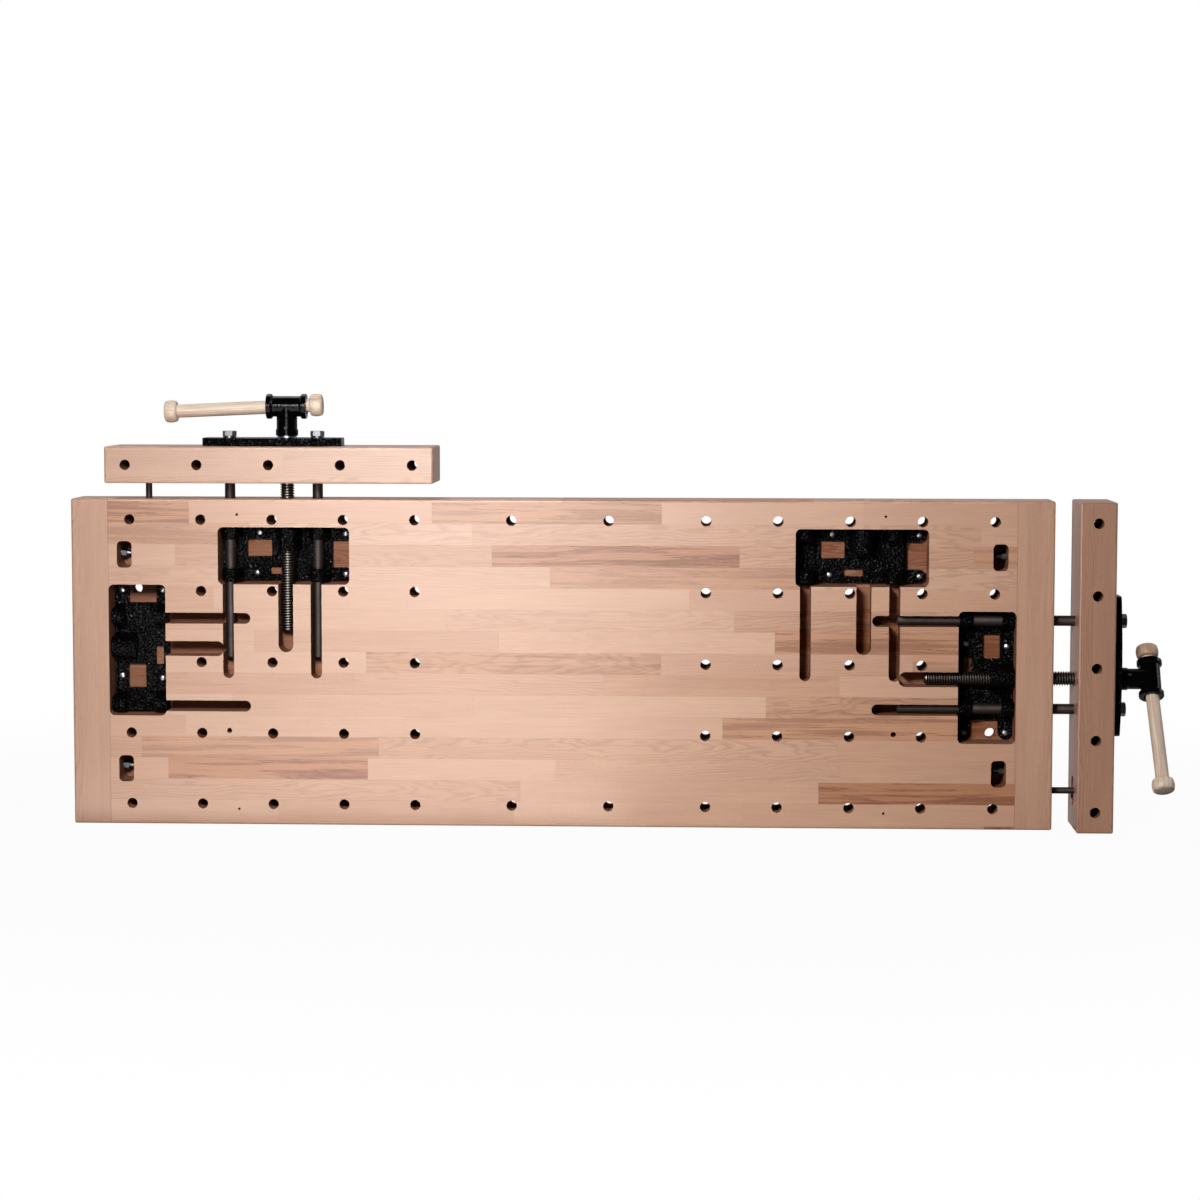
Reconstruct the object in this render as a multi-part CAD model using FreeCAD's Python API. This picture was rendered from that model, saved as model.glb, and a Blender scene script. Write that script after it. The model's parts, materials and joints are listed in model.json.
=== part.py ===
"""Workbench top with two screw vises and two spare vise bodies, standing on its rear long edge.

Millimetres. X runs along the top, Z points up, and Y goes from the underside (-Y) to the working face (+Y).
The origin is the middle of the rear edge, which the top stands on.
Every vise is made in a frame of its own: x along its jaw, y towards the working face, and z out of the
edge of the top. The rods and the screw lie in the plane y = 0, and z = 0 is the face of that edge.
"""
import FreeCAD, Part
import math
import os

Vector = FreeCAD.Vector

# The top: a glued panel between two end caps
top_length = 1508.0
top_width = 504.0
top_thickness = 85.0
cap_width = 57.0
edge_round = 3.0

# Dog holes: two blocks of columns either side of a wider middle
dog_radius = 8.0
dog_pitch = 110.0
middle_pitch = 149.0
columns_each_side = 5
rows_from_centre = 2

# Holes in the underside for the base
base_screw_radius = 2.0
base_screw_depth = 35.0
base_screw_x = 497.0
base_screw_edge = 24.0
base_pin_radius = 4.0
base_pin_depth = 30.0
base_pin_x = 511.0
base_pin_z = 146.0

# Draw bolts and spline that hold each cap
cap_bolt_radius = 4.0
cap_bolt_offset = 166.0
cap_bolt_inset = 20.0
cap_bolt_clearance = 0.5
cap_bolt_head_radius = 6.5
cap_bolt_head_height = 8.0
cap_bolt_recess_depth = 14.0
cap_nut_flats = 13.0
cap_nut_height = 6.5
cap_washer_radius = 8.5
cap_washer_thickness = 1.6
bolt_pocket_size = (23.0, 41.0)
bolt_pocket_from_joint = 13.5
bolt_pocket_clearance = 7.0
bolt_pocket_corner = 7.0
spline_thickness = 8.0
spline_width = 14.0
spline_length = 450.0
spline_from_face = 13.5
spline_clearance = 0.1

# Where the vises sit, and the wood in front of each body
front_wall = 43.5
rod_depth = 27.5
pocket_depth = 58.0
pocket_corner = 8.0
pocket_clearance = 1.5
slot_depth = 46.0
slot_clearance = 0.5
rod_slot_end_clearance = 5.5
screw_slot_end_clearance = 7.0
wall_bore_clearance = 0.75

# Vise body, a casting
rod_spacing = 136.0
rod_radius = 8.0
rod_fit = 0.05
screw_offset = 21.0
screw_radius = 11.0
screw_fit = 0.05
body_past_spare_rod = 14.0
body_past_screw_rod = 20.0
body_width = 85.0
body_plate = 8.0
body_corner = 8.0
lug_reach = 30.0
front_lug_width = 22.5
rear_lug_width = 20.0
boss_radius = 13.0
boss_length = 20.0
boss_foot = 34.0
nut_radius = 17.0
nut_length = 38.0
nut_foot = 46.0
nut_shoulder_size = (50.0, 46.0)
nut_shoulder_height = 6.5
pad_height = 4.5
pad_reach = 16.0
rail_width = 4.5
rail_height = 10.0
large_window = (-26.0, -34.0, 38.0, 27.0)
small_window = (6.0, -69.5, 30.0, 12.0)
window_corner = 2.0
boss_chamfer = 1.2

# Wood screws in the vise bodies
body_screw_radius = 2.4
body_screw_head_radius = 4.8
body_screw_head_height = 3.0
body_screw_length = 24.0
body_screw_hole_clearance = 0.4
body_screw_left = (-26.0, -30.0)
body_screw_inset = 10.0

# Jaw
jaw_length = 504.0
jaw_thickness = 56.0
jaw_depth = 115.0
jaw_bore_clearance = 0.25
screw_bore_clearance = 1.0
rod_length = 327.0
rod_chamfer = 1.0
screw_length = 285.0
front_opening = 25.0
end_opening = 34.0

# Guide pin of a jaw, with its flange in a recess
pin_radius = 5.0
pin_offset = 194.0
pin_reach = 135.0
pin_in_jaw = 36.0
pin_fit = 0.4
pin_bore_end_clearance = 12.0
flange_radius = 19.0
flange_thickness = 5.0
recess_radius = 23.0
recess_depth = 8.0

# Front plate and what bolts it on
plate_length = 215.0
plate_thickness = 12.5
plate_height = 80.0
plate_end_height = 44.0
plate_corner = 8.0
plate_round = 1.5
rod_bolt_radius = 6.0
rod_bolt_length = 42.0
rod_bolt_flats = 19.0
rod_bolt_head = 7.6
lock_washer_radius = 10.3
lock_washer_thickness = 2.8
bolt_hole_clearance = 0.4
plate_screw_x = 42.0
plate_screw_y = 26.0
plate_screw_radius = 2.5
plate_screw_head_radius = 5.0
plate_screw_length = 40.0

# Screw end: journal, retaining collar, washer and cross pins
journal_radius = 8.5
journal_fit = 0.1
collar_radius = 16.5
collar_length = 11.5
collar_recess_radius = 18.5
collar_recess_depth = 14.0
collar_gap = 0.7
collar_pin_radius = 2.0
thrust_radius = 15.0
thrust_thickness = 2.7
thrust_gap = 0.3
hub_pin_radius = 2.5
hub_pin_height = 12.0

# Hub, shaped like a pipe tee
hub_radius = 15.9
hub_collar_radius = 19.3
hub_collar_width = 7.0
hub_collar_slope = 3.0
hub_length = 61.5
hub_height = 48.0
hub_hole_radius = 12.0
stem_collar_radius = 17.3
stem_collar_width = 9.0
stem_collar_slope = 1.5
hub_chamfer = 1.0

# Handle
handle_radius = 10.25
handle_length = 247.0
knob_radius = 17.3
knob_neck_radius = 13.5
knob_side_radius = 16.5
knob_corner = 4.0
knob_corner_middle = (0.72, 0.36)
knob_length = 20.5
knob_crown = 1.5
knob_crown_middle = (0.55, 0.3)
knob_mark_radius = 1.5
knob_socket = 12.0
knob_fit = 0.05
handle_slide = 66.5
handle_droop = 2.6

cut_over = 2.0
washer_hole_clearance = 0.3

half_thickness = top_thickness / 2
half_length = top_length / 2
rod_y = rod_depth - half_thickness
joint_x = half_length - cap_width
third_column_x = 1.5 * middle_pitch + 2 * dog_pitch
rod_places = (-rod_spacing / 2, rod_spacing / 2)
body_left = rod_spacing / 2 + body_past_spare_rod
body_right = rod_spacing / 2 + body_past_screw_rod
plate_top = pocket_depth - rod_depth - body_plate
pocket_floor = pocket_depth - rod_depth
rod_reach = rod_length - jaw_thickness
screw_reach = screw_length - jaw_thickness
hub_base = plate_thickness + thrust_gap + thrust_thickness

# name, place along X, place along Z, turn about Y, wood in front of the body
vise_bodies = {
    "front_left": (-third_column_x, top_width, 0.0, front_wall),
    "front_right": (third_column_x, top_width, 0.0, front_wall),
    "left_end": (-half_length, top_width / 2, -90.0, cap_width),
    "right_end": (half_length, top_width / 2, 90.0, cap_width),
}

# vise: its body, opening at rest, side of the guide pin, direction and droop of the handle in degrees
vises = {
    "front": ("front_left", front_opening, -1, 180.0, -handle_droop),
    "end": ("right_end", end_opening, 1, -32.7, handle_droop),
}


def vise_place(body_name):
    """Placement that carries a vise's own frame to the edge where its body sits."""
    x, z, turn, _ = vise_bodies[body_name]
    return FreeCAD.Placement(Vector(x, rod_y, z), FreeCAD.Rotation(Vector(0, 1, 0), turn))


def placed(shape, placement):
    """The shape with a placement worked into its geometry."""
    moved = shape.copy()
    moved.transformShape(placement.toMatrix())
    return moved


def block(x, y, z):
    """Box between two limits along each axis."""
    size = [high - low for low, high in (x, y, z)]
    return Part.makeBox(*size, Vector(x[0], y[0], z[0]))


def rod_along_z(radius, low, high, x=0.0, y=0.0):
    """Cylinder along z between two heights."""
    return Part.makeCylinder(radius, high - low, Vector(x, y, low))


def hole_along_y(radius, low, high, x, z):
    """Cylinder along y between two depths."""
    return Part.makeCylinder(radius, high - low, Vector(x, low, z), Vector(0, 1, 0))


def rounded_prism(x, z, y, corner):
    """Prism along y whose outline in x and z has round corners."""
    prism = block(x, y, z)
    upright = [e for e in prism.Edges if abs(e.tangentAt(e.FirstParameter).y) > 0.99]
    return prism.makeFillet(corner, upright)


def hexagon(flats, height):
    """Hexagonal prism on z = 0 with its corners chamfered, as a bolt head or nut is."""
    corner = flats / math.sqrt(3)
    points = [Vector(corner * math.cos(a), corner * math.sin(a), 0)
              for a in (math.radians(60 * i) for i in range(7))]
    prism = Part.Face(Part.makePolygon(points)).extrude(Vector(0, 0, height))
    cone = Part.makeCone(flats / 2 + height * math.sqrt(3), flats / 2, height)
    return prism.common(cone)


def ring(outer, inner, low, high, x=0.0):
    """Washer or collar along z."""
    return rod_along_z(outer, low, high, x).cut(rod_along_z(inner, low - 1, high + 1, x))


def revolved(profile, axis=Vector(0, 0, 1)):
    """Solid turned from a closed list of (radius, height) points about z."""
    points = [Vector(r, 0, h) for r, h in profile]
    face = Part.Face(Part.makePolygon(points + points[:1]))
    return face.revolve(Vector(0, 0, 0), axis, 360)


# The top

def dog_columns():
    """X of each dog-hole column, with whether it has only the two outermost rows."""
    inner = middle_pitch / 2
    columns = [(side * inner, True) for side in (-1, 1)]
    for side in (-1, 1):
        for step in range(columns_each_side):
            columns.append((side * (3 * inner + step * dog_pitch), False))
    return columns


def dog_places():
    """X and Z of every dog hole in the top. The end vises take the place of two in the middle row."""
    outermost = 3 * middle_pitch / 2 + (columns_each_side - 1) * dog_pitch
    places = []
    for x, sparse in dog_columns():
        for row in range(-rows_from_centre, rows_from_centre + 1):
            under_body = row == 0 and abs(x) == outermost
            if under_body or (sparse and abs(row) < rows_from_centre):
                continue
            places.append((x, top_width / 2 + row * dog_pitch))
    return places


def vise_recess(body_name):
    """What is cut from the wood for one vise: pocket, running slots and bores through the wall."""
    wall = vise_bodies[body_name][3]
    face = -rod_depth - cut_over
    pocket = rounded_prism((-body_left - pocket_clearance, body_right + lug_reach + pocket_clearance),
                           (-wall - body_width - 2 * pocket_clearance, -wall),
                           (face, pocket_floor), pocket_corner)
    tools = [pocket]
    runs = [(x, rod_radius, rod_reach + rod_slot_end_clearance) for x in rod_places]
    runs.append((screw_offset, screw_radius, screw_reach + screw_slot_end_clearance))
    for x, radius, slot_length in runs:
        half = radius + slot_clearance
        end = -slot_length
        start = -wall - body_width / 2
        tools.append(block((x - half, x + half), (face, slot_depth - rod_depth), (end + half, start)))
        tools.append(hole_along_y(half, face, slot_depth - rod_depth, x, end + half))
        tools.append(rod_along_z(radius + wall_bore_clearance, -wall - cut_over, cut_over, x))
    return placed(Part.makeCompound(tools), vise_place(body_name))


def guide_pin_bore(vise):
    body_name, _, side, _, _ = vises[vise]
    bore = rod_along_z(pin_radius + pin_fit, -pin_reach - pin_bore_end_clearance, cut_over, side * pin_offset)
    return placed(bore, vise_place(body_name))


def cap_bolt_heights():
    return [top_width / 2 + side * cap_bolt_offset for side in (-1, 1)]


def bolt_pocket_x():
    """Distances from the middle to the near and far walls of a bolt pocket."""
    far = joint_x - bolt_pocket_from_joint
    return far - bolt_pocket_size[0], far


def bolt_tools():
    """Pockets, bores and head recesses of the four draw bolts."""
    near, far = bolt_pocket_x()
    tools = []
    for side in (-1, 1):
        for height in cap_bolt_heights():
            half = bolt_pocket_size[1] / 2
            x = sorted((side * near, side * far))
            tools.append(rounded_prism(x, (height - half, height + half),
                                       (-half_thickness - cut_over, cap_washer_radius + bolt_pocket_clearance),
                                       bolt_pocket_corner))
            start = Vector(side * (half_length + cut_over), 0, height)
            inward = Vector(-side, 0, 0)
            bore = cap_bolt_radius + cap_bolt_clearance
            tools.append(Part.makeCylinder(bore, half_length + cut_over - far + 1, start, inward))
            recess = cap_bolt_head_radius + 3 * cap_bolt_clearance
            tools.append(Part.makeCylinder(recess, cap_bolt_recess_depth + cut_over, start, inward))
    return tools


def spline_box(side, clearance=0.0):
    """The loose tongue between a cap and the panel, or its groove."""
    half = spline_width / 2 + clearance
    middle = half_thickness - spline_from_face
    thick = spline_thickness / 2 + clearance
    long = spline_length / 2 + clearance
    return block((side * joint_x - half, side * joint_x + half), (middle - thick, middle + thick),
                 (top_width / 2 - long, top_width / 2 + long))


def base_holes():
    """Screw and locating holes for the base, in the underside."""
    low = -half_thickness - cut_over
    tools = []
    for x in (-base_screw_x, base_screw_x):
        for z in (base_screw_edge, top_width - base_screw_edge):
            tools.append(hole_along_y(base_screw_radius, low, base_screw_depth - half_thickness, x, z))
    for x in (-base_pin_x, base_pin_x):
        tools.append(hole_along_y(base_pin_radius, low, base_pin_depth - half_thickness, x, base_pin_z))
    return tools


def wooden_top():
    """The panel and its two caps, cut from one blank so that their edges run on."""
    blank = block((-half_length, half_length), (-half_thickness, half_thickness), (0, top_width))
    blank = blank.makeFillet(edge_round, blank.Edges)
    tools = [vise_recess(name) for name in vise_bodies]
    tools += [guide_pin_bore(name) for name in vises]
    tools += bolt_tools() + base_holes()
    tools += [spline_box(side, spline_clearance) for side in (-1, 1)]
    tools += [hole_along_y(dog_radius, -top_thickness, top_thickness, x, z) for x, z in dog_places()]
    spans = {
        "top_panel": (-joint_x, joint_x),
        "left_end_cap": (-top_length, -joint_x),
        "right_end_cap": (joint_x, top_length),
    }
    pieces = {}
    for name, span in spans.items():
        whole = blank.common(block(span, (-top_thickness, top_thickness), (-1, top_width + 1)))
        pieces[name] = whole.cut(tools)
    return pieces


def cap_fasteners():
    """Draw bolts, washers and nuts: the head is sunk in the cap, the nut sits in its pocket."""
    far = bolt_pocket_x()[1]
    head_seat = half_length - cap_bolt_recess_depth + cap_bolt_head_height
    shank_end = far - cap_bolt_inset + 2 * cap_washer_thickness
    bolts, washers, nuts = [], [], []
    for side in (-1, 1):
        for height in cap_bolt_heights():
            turn = FreeCAD.Placement(Vector(0, 0, height), FreeCAD.Rotation(Vector(0, 1, 0), 90 * side))
            bolt = rod_along_z(cap_bolt_head_radius, head_seat - cap_bolt_head_height, head_seat)
            socket = hexagon(cap_bolt_head_radius, cap_bolt_head_height / 2)
            socket.translate(Vector(0, 0, head_seat - cap_bolt_head_height / 2))
            bolt = bolt.fuse(rod_along_z(cap_bolt_radius, shank_end, head_seat - 1)).cut(socket)
            nut_top = far - cap_washer_thickness
            nut = hexagon(cap_nut_flats, cap_nut_height)
            nut.rotate(Vector(0, 0, 0), Vector(1, 0, 0), 180)
            nut.translate(Vector(0, 0, nut_top))
            nut = nut.cut(rod_along_z(cap_bolt_radius, 0, far))
            washer = ring(cap_washer_radius, cap_bolt_radius + washer_hole_clearance, nut_top, far)
            for group, piece in ((bolts, bolt), (washers, washer), (nuts, nut)):
                group.append(placed(piece, turn))
    return {"cap_bolts": bolts, "cap_washers": washers, "cap_nuts": nuts}


# Vise body

def body_screw_places():
    """x and z of the four wood screws of a body, from its front face."""
    lug_x = body_right + lug_reach - body_screw_inset
    return [(body_screw_left[0], -body_screw_inset),
            (body_screw_left[1], -body_width + body_screw_inset + 2),
            (lug_x, -front_lug_width / 2),
            (lug_x, -body_width + rear_lug_width / 2)]


def lug(z, width):
    """Ear of the body's base plate with a round end."""
    end = body_right + lug_reach - width / 2
    y = (plate_top, pocket_floor)
    bar = block((body_right - 2, end), y, (z, z + width))
    return bar.fuse(hole_along_y(width / 2, *y, end, z + width / 2))


def boss(radius, foot, low, high, x):
    """Round boss along z on a foot that widens towards the base plate."""
    barrel = rod_along_z(radius, low, high, x)
    ends = [e for e in barrel.Edges if e.Closed]
    barrel = barrel.makeChamfer(boss_chamfer, ends)
    top = radius * 0.94
    outline = [Vector(x - top, 0, low + boss_chamfer), Vector(x + top, 0, low + boss_chamfer),
               Vector(x + foot / 2, plate_top + 1, low + boss_chamfer),
               Vector(x - foot / 2, plate_top + 1, low + boss_chamfer)]
    cheeks = Part.Face(Part.makePolygon(outline + outline[:1]))
    return barrel.fuse(cheeks.extrude(Vector(0, 0, high - low - 2 * boss_chamfer)))


def window(place, corner=window_corner):
    x, z, width, height = place
    return rounded_prism((x - width / 2, x + width / 2), (z - height / 2, z + height / 2),
                         (0, pocket_floor + 1), corner)


def vise_body():
    """Casting that guides both rods and is the nut of the screw. Its front face is z = 0."""
    y = (plate_top, pocket_floor)
    plate = rounded_prism((-body_left, body_right), (-body_width, 0), y, body_corner)
    body = plate.fuse([lug(-front_lug_width, front_lug_width), lug(-body_width, rear_lug_width)])
    rod_side = rod_spacing / 2 - pad_reach
    raised = (plate_top - pad_height, plate_top + 1)
    pads = [rounded_prism((-body_left, -rod_side), (-body_width, 0), raised, body_corner),
            rounded_prism((rod_side, body_right - pad_height), (-body_width, 0), raised, body_corner)]
    shoulder = rounded_prism((screw_offset - nut_shoulder_size[0] / 2, screw_offset + nut_shoulder_size[0] / 2),
                             (-nut_shoulder_size[1], 0), (plate_top - nut_shoulder_height, plate_top + 1),
                             body_corner)
    rail = block((-rod_spacing / 2, rod_spacing / 2), (plate_top - rail_height, plate_top + 1),
                 (-rail_width, -boss_chamfer))
    rib_x = large_window[0] + large_window[2] / 2 + 2
    rib = block((rib_x, rib_x + rail_width - 1), (plate_top - nut_shoulder_height, plate_top + 1),
                (-body_width * 0.62, -rail_width))
    bosses = [boss(nut_radius, nut_foot, -nut_length, 0, screw_offset)]
    for x in rod_places:
        bosses.append(boss(boss_radius, boss_foot, -boss_length, 0, x))
        bosses.append(boss(boss_radius, boss_foot, -body_width, -body_width + boss_length, x))
    body = body.fuse(pads + [shoulder, rail, rib] + bosses)
    tools = [rod_along_z(rod_radius + rod_fit, -body_width - 1, 1, x) for x in rod_places]
    tools.append(rod_along_z(screw_radius + screw_fit, -body_width - 1, 1, screw_offset))
    tools += [window(large_window), window(small_window)]
    hole = body_screw_radius + body_screw_hole_clearance
    tools += [hole_along_y(hole, 0, pocket_floor + 1, x, z) for x, z in body_screw_places()]
    body = body.cut(tools)
    limit = rounded_prism((-body_left, body_right + lug_reach), (-body_width, 0), (-nut_radius, pocket_floor),
                          body_corner)
    return body.common(limit).removeSplitter()


def body_screws():
    """Round-headed wood screws that hold a body to the floor of its pocket."""
    head = Part.makeSphere(body_screw_head_radius * 1.35)
    cap = head.common(rod_along_z(body_screw_head_radius, body_screw_head_radius * 1.35 - body_screw_head_height,
                                  body_screw_head_radius * 2))
    cap.translate(Vector(0, 0, body_screw_head_height - body_screw_head_radius * 1.35))
    tip = 3 * body_screw_radius
    shank = rod_along_z(body_screw_radius, -body_screw_length + tip, 1)
    point = Part.makeCone(0.3, body_screw_radius, tip, Vector(0, 0, -body_screw_length))
    screw = cap.fuse([shank, point])
    screw.rotate(Vector(0, 0, 0), Vector(1, 0, 0), 90)
    screws = []
    for x, z in body_screw_places():
        copy = screw.copy()
        copy.translate(Vector(x, plate_top, z))
        screws.append(copy)
    return screws


def fitted_bodies():
    """The four bodies and their screws, each in its pocket. The screws' holes go into the panel."""
    pieces, holes = {}, []
    body, screws = vise_body(), body_screws()
    pilot = [hole_along_y(body_screw_radius, pocket_floor, plate_top + body_screw_length + 1, x, z)
             for x, z in body_screw_places()]
    for name, (_, _, _, wall) in vise_bodies.items():
        place = vise_place(name).multiply(FreeCAD.Placement(Vector(0, 0, -wall), FreeCAD.Rotation()))
        pieces[name + "_vise_body"] = [placed(body, place)]
        pieces[name + "_body_screws"] = [placed(s, place) for s in screws]
        holes += [placed(p, place) for p in pilot]
    return pieces, holes


# Vise: what slides with the jaw

def jaw(opening, side):
    """Wooden jaw with dog holes in line with those of the top."""
    low, high = opening, opening + jaw_thickness
    half = jaw_length / 2
    blank = block((-half, half), (-jaw_depth / 2, jaw_depth / 2), (low, high))
    blank = blank.makeFillet(edge_round, blank.Edges)
    middle = (low + high) / 2
    tools = [hole_along_y(dog_radius, -jaw_depth, jaw_depth, row * dog_pitch, middle)
             for row in range(-rows_from_centre, rows_from_centre + 1)]
    tools += [rod_along_z(rod_radius + jaw_bore_clearance, low - 1, high + 1, x) for x in rod_places]
    tools.append(rod_along_z(screw_radius + screw_bore_clearance, low - 1, high + 1, screw_offset))
    tools.append(rod_along_z(collar_recess_radius, high - collar_recess_depth, high + 1, screw_offset))
    tools.append(rod_along_z(recess_radius, low - 1, low + recess_depth, side * pin_offset))
    tools.append(rod_along_z(pin_radius, low - 1, low + pin_in_jaw, side * pin_offset))
    tools += [placed(s, FreeCAD.Placement(Vector(0, 0, high), FreeCAD.Rotation()))
              for s in plate_screws(plate_screw_radius)]
    return blank.cut(tools)


def plate_outline():
    """Front plate's outline in x and y: arched long sides and short straight ends."""
    end, tall, short = plate_length / 2, plate_height / 2, plate_end_height / 2
    arcs = [Part.Arc(Vector(-end, s * short, 0), Vector(0, s * tall, 0), Vector(end, s * short, 0)).toShape()
            for s in (-1, 1)]
    ends = [Part.makeLine(Vector(s * end, -short, 0), Vector(s * end, short, 0)) for s in (-1, 1)]
    return Part.Face(Part.Wire(Part.__sortEdges__(arcs + ends)))


def front_plate():
    """Cast plate on the jaw's outer face, with z = 0 on the jaw."""
    plate = plate_outline().extrude(Vector(0, 0, plate_thickness))
    corners = [e for e in plate.Edges if abs(e.tangentAt(e.FirstParameter).z) > 0.99]
    plate = plate.makeFillet(plate_corner, corners)
    rim = [e for e in plate.Edges if min(v.Z for v in e.Vertexes) > plate_thickness - 0.01]
    plate = plate.makeFillet(plate_round, rim)
    tools = [rod_along_z(rod_bolt_radius + bolt_hole_clearance, -1, plate_thickness + 1, x) for x in rod_places]
    tools.append(rod_along_z(journal_radius + journal_fit, -1, plate_thickness + 1, screw_offset))
    return plate.cut(tools + plate_screws(plate_screw_radius, True))


def plate_screws(shank_radius=plate_screw_radius, as_hole=False):
    """Countersunk wood screws that hold the plate to the jaw, flush with its face."""
    slope = plate_screw_head_radius - shank_radius
    top = plate_thickness + (1 if as_hole else 0)
    profile = [(0, -plate_screw_length + plate_thickness), (shank_radius, plate_thickness - plate_screw_length + 6),
               (shank_radius, plate_thickness - slope), (plate_screw_head_radius, plate_thickness),
               (plate_screw_head_radius, top), (0, top)]
    if not as_hole:
        profile.pop(-2)
    screw = revolved(profile)
    screws = []
    for x in (-plate_screw_x, plate_screw_x):
        for y in (-plate_screw_y, plate_screw_y):
            copy = screw.copy()
            copy.translate(Vector(x, y, 0))
            screws.append(copy)
    return screws


def guide_rod(opening, x):
    """Rod from the front plate through the jaw into the body, drilled for its bolt."""
    high = opening + jaw_thickness
    rod = rod_along_z(rod_radius, high - rod_length, high, x)
    inner_end = [e for e in rod.Edges if e.Closed and e.CenterOfMass.z < high - rod_length / 2]
    rod = rod.makeChamfer(rod_chamfer, inner_end)
    depth = rod_bolt_length - plate_thickness - lock_washer_thickness + 1
    return rod.cut(rod_along_z(rod_bolt_radius, high - depth, high + 1, x))


def rod_bolts(opening):
    seat = opening + jaw_thickness + plate_thickness + lock_washer_thickness
    bolts = []
    for x in rod_places:
        head = hexagon(rod_bolt_flats, rod_bolt_head)
        head.translate(Vector(x, 0, seat))
        bolts.append(head.fuse(rod_along_z(rod_bolt_radius, seat - rod_bolt_length, seat, x)))
    return bolts


def lock_washers(opening):
    seat = opening + jaw_thickness + plate_thickness
    return [ring(lock_washer_radius, rod_bolt_radius + washer_hole_clearance, seat,
                 seat + lock_washer_thickness, x) for x in rod_places]


def guide_pin(opening, x):
    """Pin that keeps the jaw level, held in the jaw and running in the edge of the top."""
    seat = opening + recess_depth
    pin = rod_along_z(pin_radius, opening - pin_reach, opening + pin_in_jaw, x)
    inner_end = [e for e in pin.Edges if e.Closed and e.CenterOfMass.z < opening]
    pin = pin.makeChamfer(rod_chamfer, inner_end)
    flange = ring(flange_radius, pin_radius, seat - flange_thickness, seat, x)
    return pin, flange


# Vise: what turns with the screw

def lead_screw(opening):
    """Screw with its journal. The thread runs from its inner end to the shoulder behind the plate."""
    high = opening + jaw_thickness
    shoulder = high - collar_gap - collar_length
    inner = high - screw_length
    end = high + hub_base + hub_journal_depth()
    profile = [(0, inner), (screw_radius - 2 * rod_chamfer, inner), (screw_radius, inner + 2 * rod_chamfer),
               (screw_radius, shoulder), (journal_radius, shoulder), (journal_radius, end), (0, end)]
    screw = revolved(profile)
    screw.translate(Vector(screw_offset, 0, 0))
    return screw.cut(cross_pins(opening))


def hub_journal_depth():
    """How far the journal goes into the stem, just short of the handle's hole."""
    return hub_height - hub_base - hub_hole_radius + plate_thickness - 5


def cross_pins(opening):
    """Pin of the collar and pin of the hub, both square to the screw."""
    high = opening + jaw_thickness
    collar_z = high - collar_gap - collar_length / 2
    hub_z = high + hub_base + hub_pin_height
    return [hole_along_y(collar_pin_radius, -collar_radius, collar_radius, screw_offset, collar_z),
            hole_along_y(hub_pin_radius, -stem_collar_radius, stem_collar_radius, screw_offset, hub_z)]


def turned_pins(opening, angle):
    """The cross pins as they lie when the hub is turned by an angle."""
    pins = cross_pins(opening)
    for pin in pins:
        pin.rotate(Vector(screw_offset, 0, 0), Vector(0, 0, 1), angle)
    return pins


def flared_tube(radius, collar, width, slope, half):
    """Body of the hub: a round bar with a collar at each end, centred on the origin along z."""
    side = [(radius, half - width - slope), (collar, half - width), (collar, half - hub_chamfer),
            (collar - hub_chamfer, half)]
    lower = [(r, -h) for r, h in reversed(side)]
    return revolved([(0, -half)] + lower + side + [(0, half)])


def hub():
    """Hub with the handle's hole along x and its stem down z. The handle's hole is at the origin."""
    barrel = flared_tube(hub_radius, hub_collar_radius, hub_collar_width, hub_collar_slope, hub_length / 2)
    barrel.rotate(Vector(0, 0, 0), Vector(0, 1, 0), 90)
    low = plate_thickness + hub_height - hub_base
    stem = revolved([(0, -low), (stem_collar_radius - hub_chamfer, -low), (stem_collar_radius, hub_chamfer - low),
                     (stem_collar_radius, stem_collar_width - low),
                     (hub_radius, stem_collar_width + stem_collar_slope - low), (hub_radius, 0), (0, 0)])
    body = barrel.fuse(stem)
    bore = Part.makeCylinder(hub_hole_radius, 2 * hub_length, Vector(-hub_length, 0, 0), Vector(1, 0, 0))
    journal = rod_along_z(journal_radius, -low - 1, hub_journal_depth() - low)
    return body.cut([bore, journal])


def handle_frame(opening, angle, droop=0.0):
    """Placement of the hub or handle: x along the handle, turned about the screw and drooping in its hole."""
    centre = Vector(screw_offset, 0, opening + jaw_thickness + plate_thickness + hub_height)
    turn = FreeCAD.Rotation(Vector(0, 0, 1), angle).multiply(FreeCAD.Rotation(Vector(0, 1, 0), -droop))
    return FreeCAD.Placement(centre, turn)


def spindle(opening, angle):
    """Everything that turns: screw, collar, washer, hub and their pins."""
    high = opening + jaw_thickness
    frame = handle_frame(opening, angle)
    pins = turned_pins(opening, angle)
    collar = ring(collar_radius, journal_radius, high - collar_gap - collar_length, high - collar_gap, screw_offset)
    washer = ring(thrust_radius, journal_radius, high + plate_thickness + thrust_gap,
                  high + plate_thickness + thrust_gap + thrust_thickness, screw_offset)
    screw = lead_screw(opening)
    screw.rotate(Vector(screw_offset, 0, 0), Vector(0, 0, 1), angle)
    hub_limit = placed(hub_outline(), frame)
    return {
        "lead_screw": [screw],
        "screw_collar": [collar.cut(pins[0])],
        "collar_pin": [pins[0].common(rod_along_z(collar_radius, high - collar_length - 2, high, screw_offset))],
        "thrust_washer": [washer],
        "hub": [placed(hub(), frame).cut(pins[1])],
        "hub_pin": [pins[1].common(hub_limit)],
    }


def hub_outline():
    """Round bar as wide as the stem, to trim the hub's pin flush."""
    low = plate_thickness + hub_height - hub_base
    return rod_along_z(hub_radius, -low, 0)


# Handle

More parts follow.
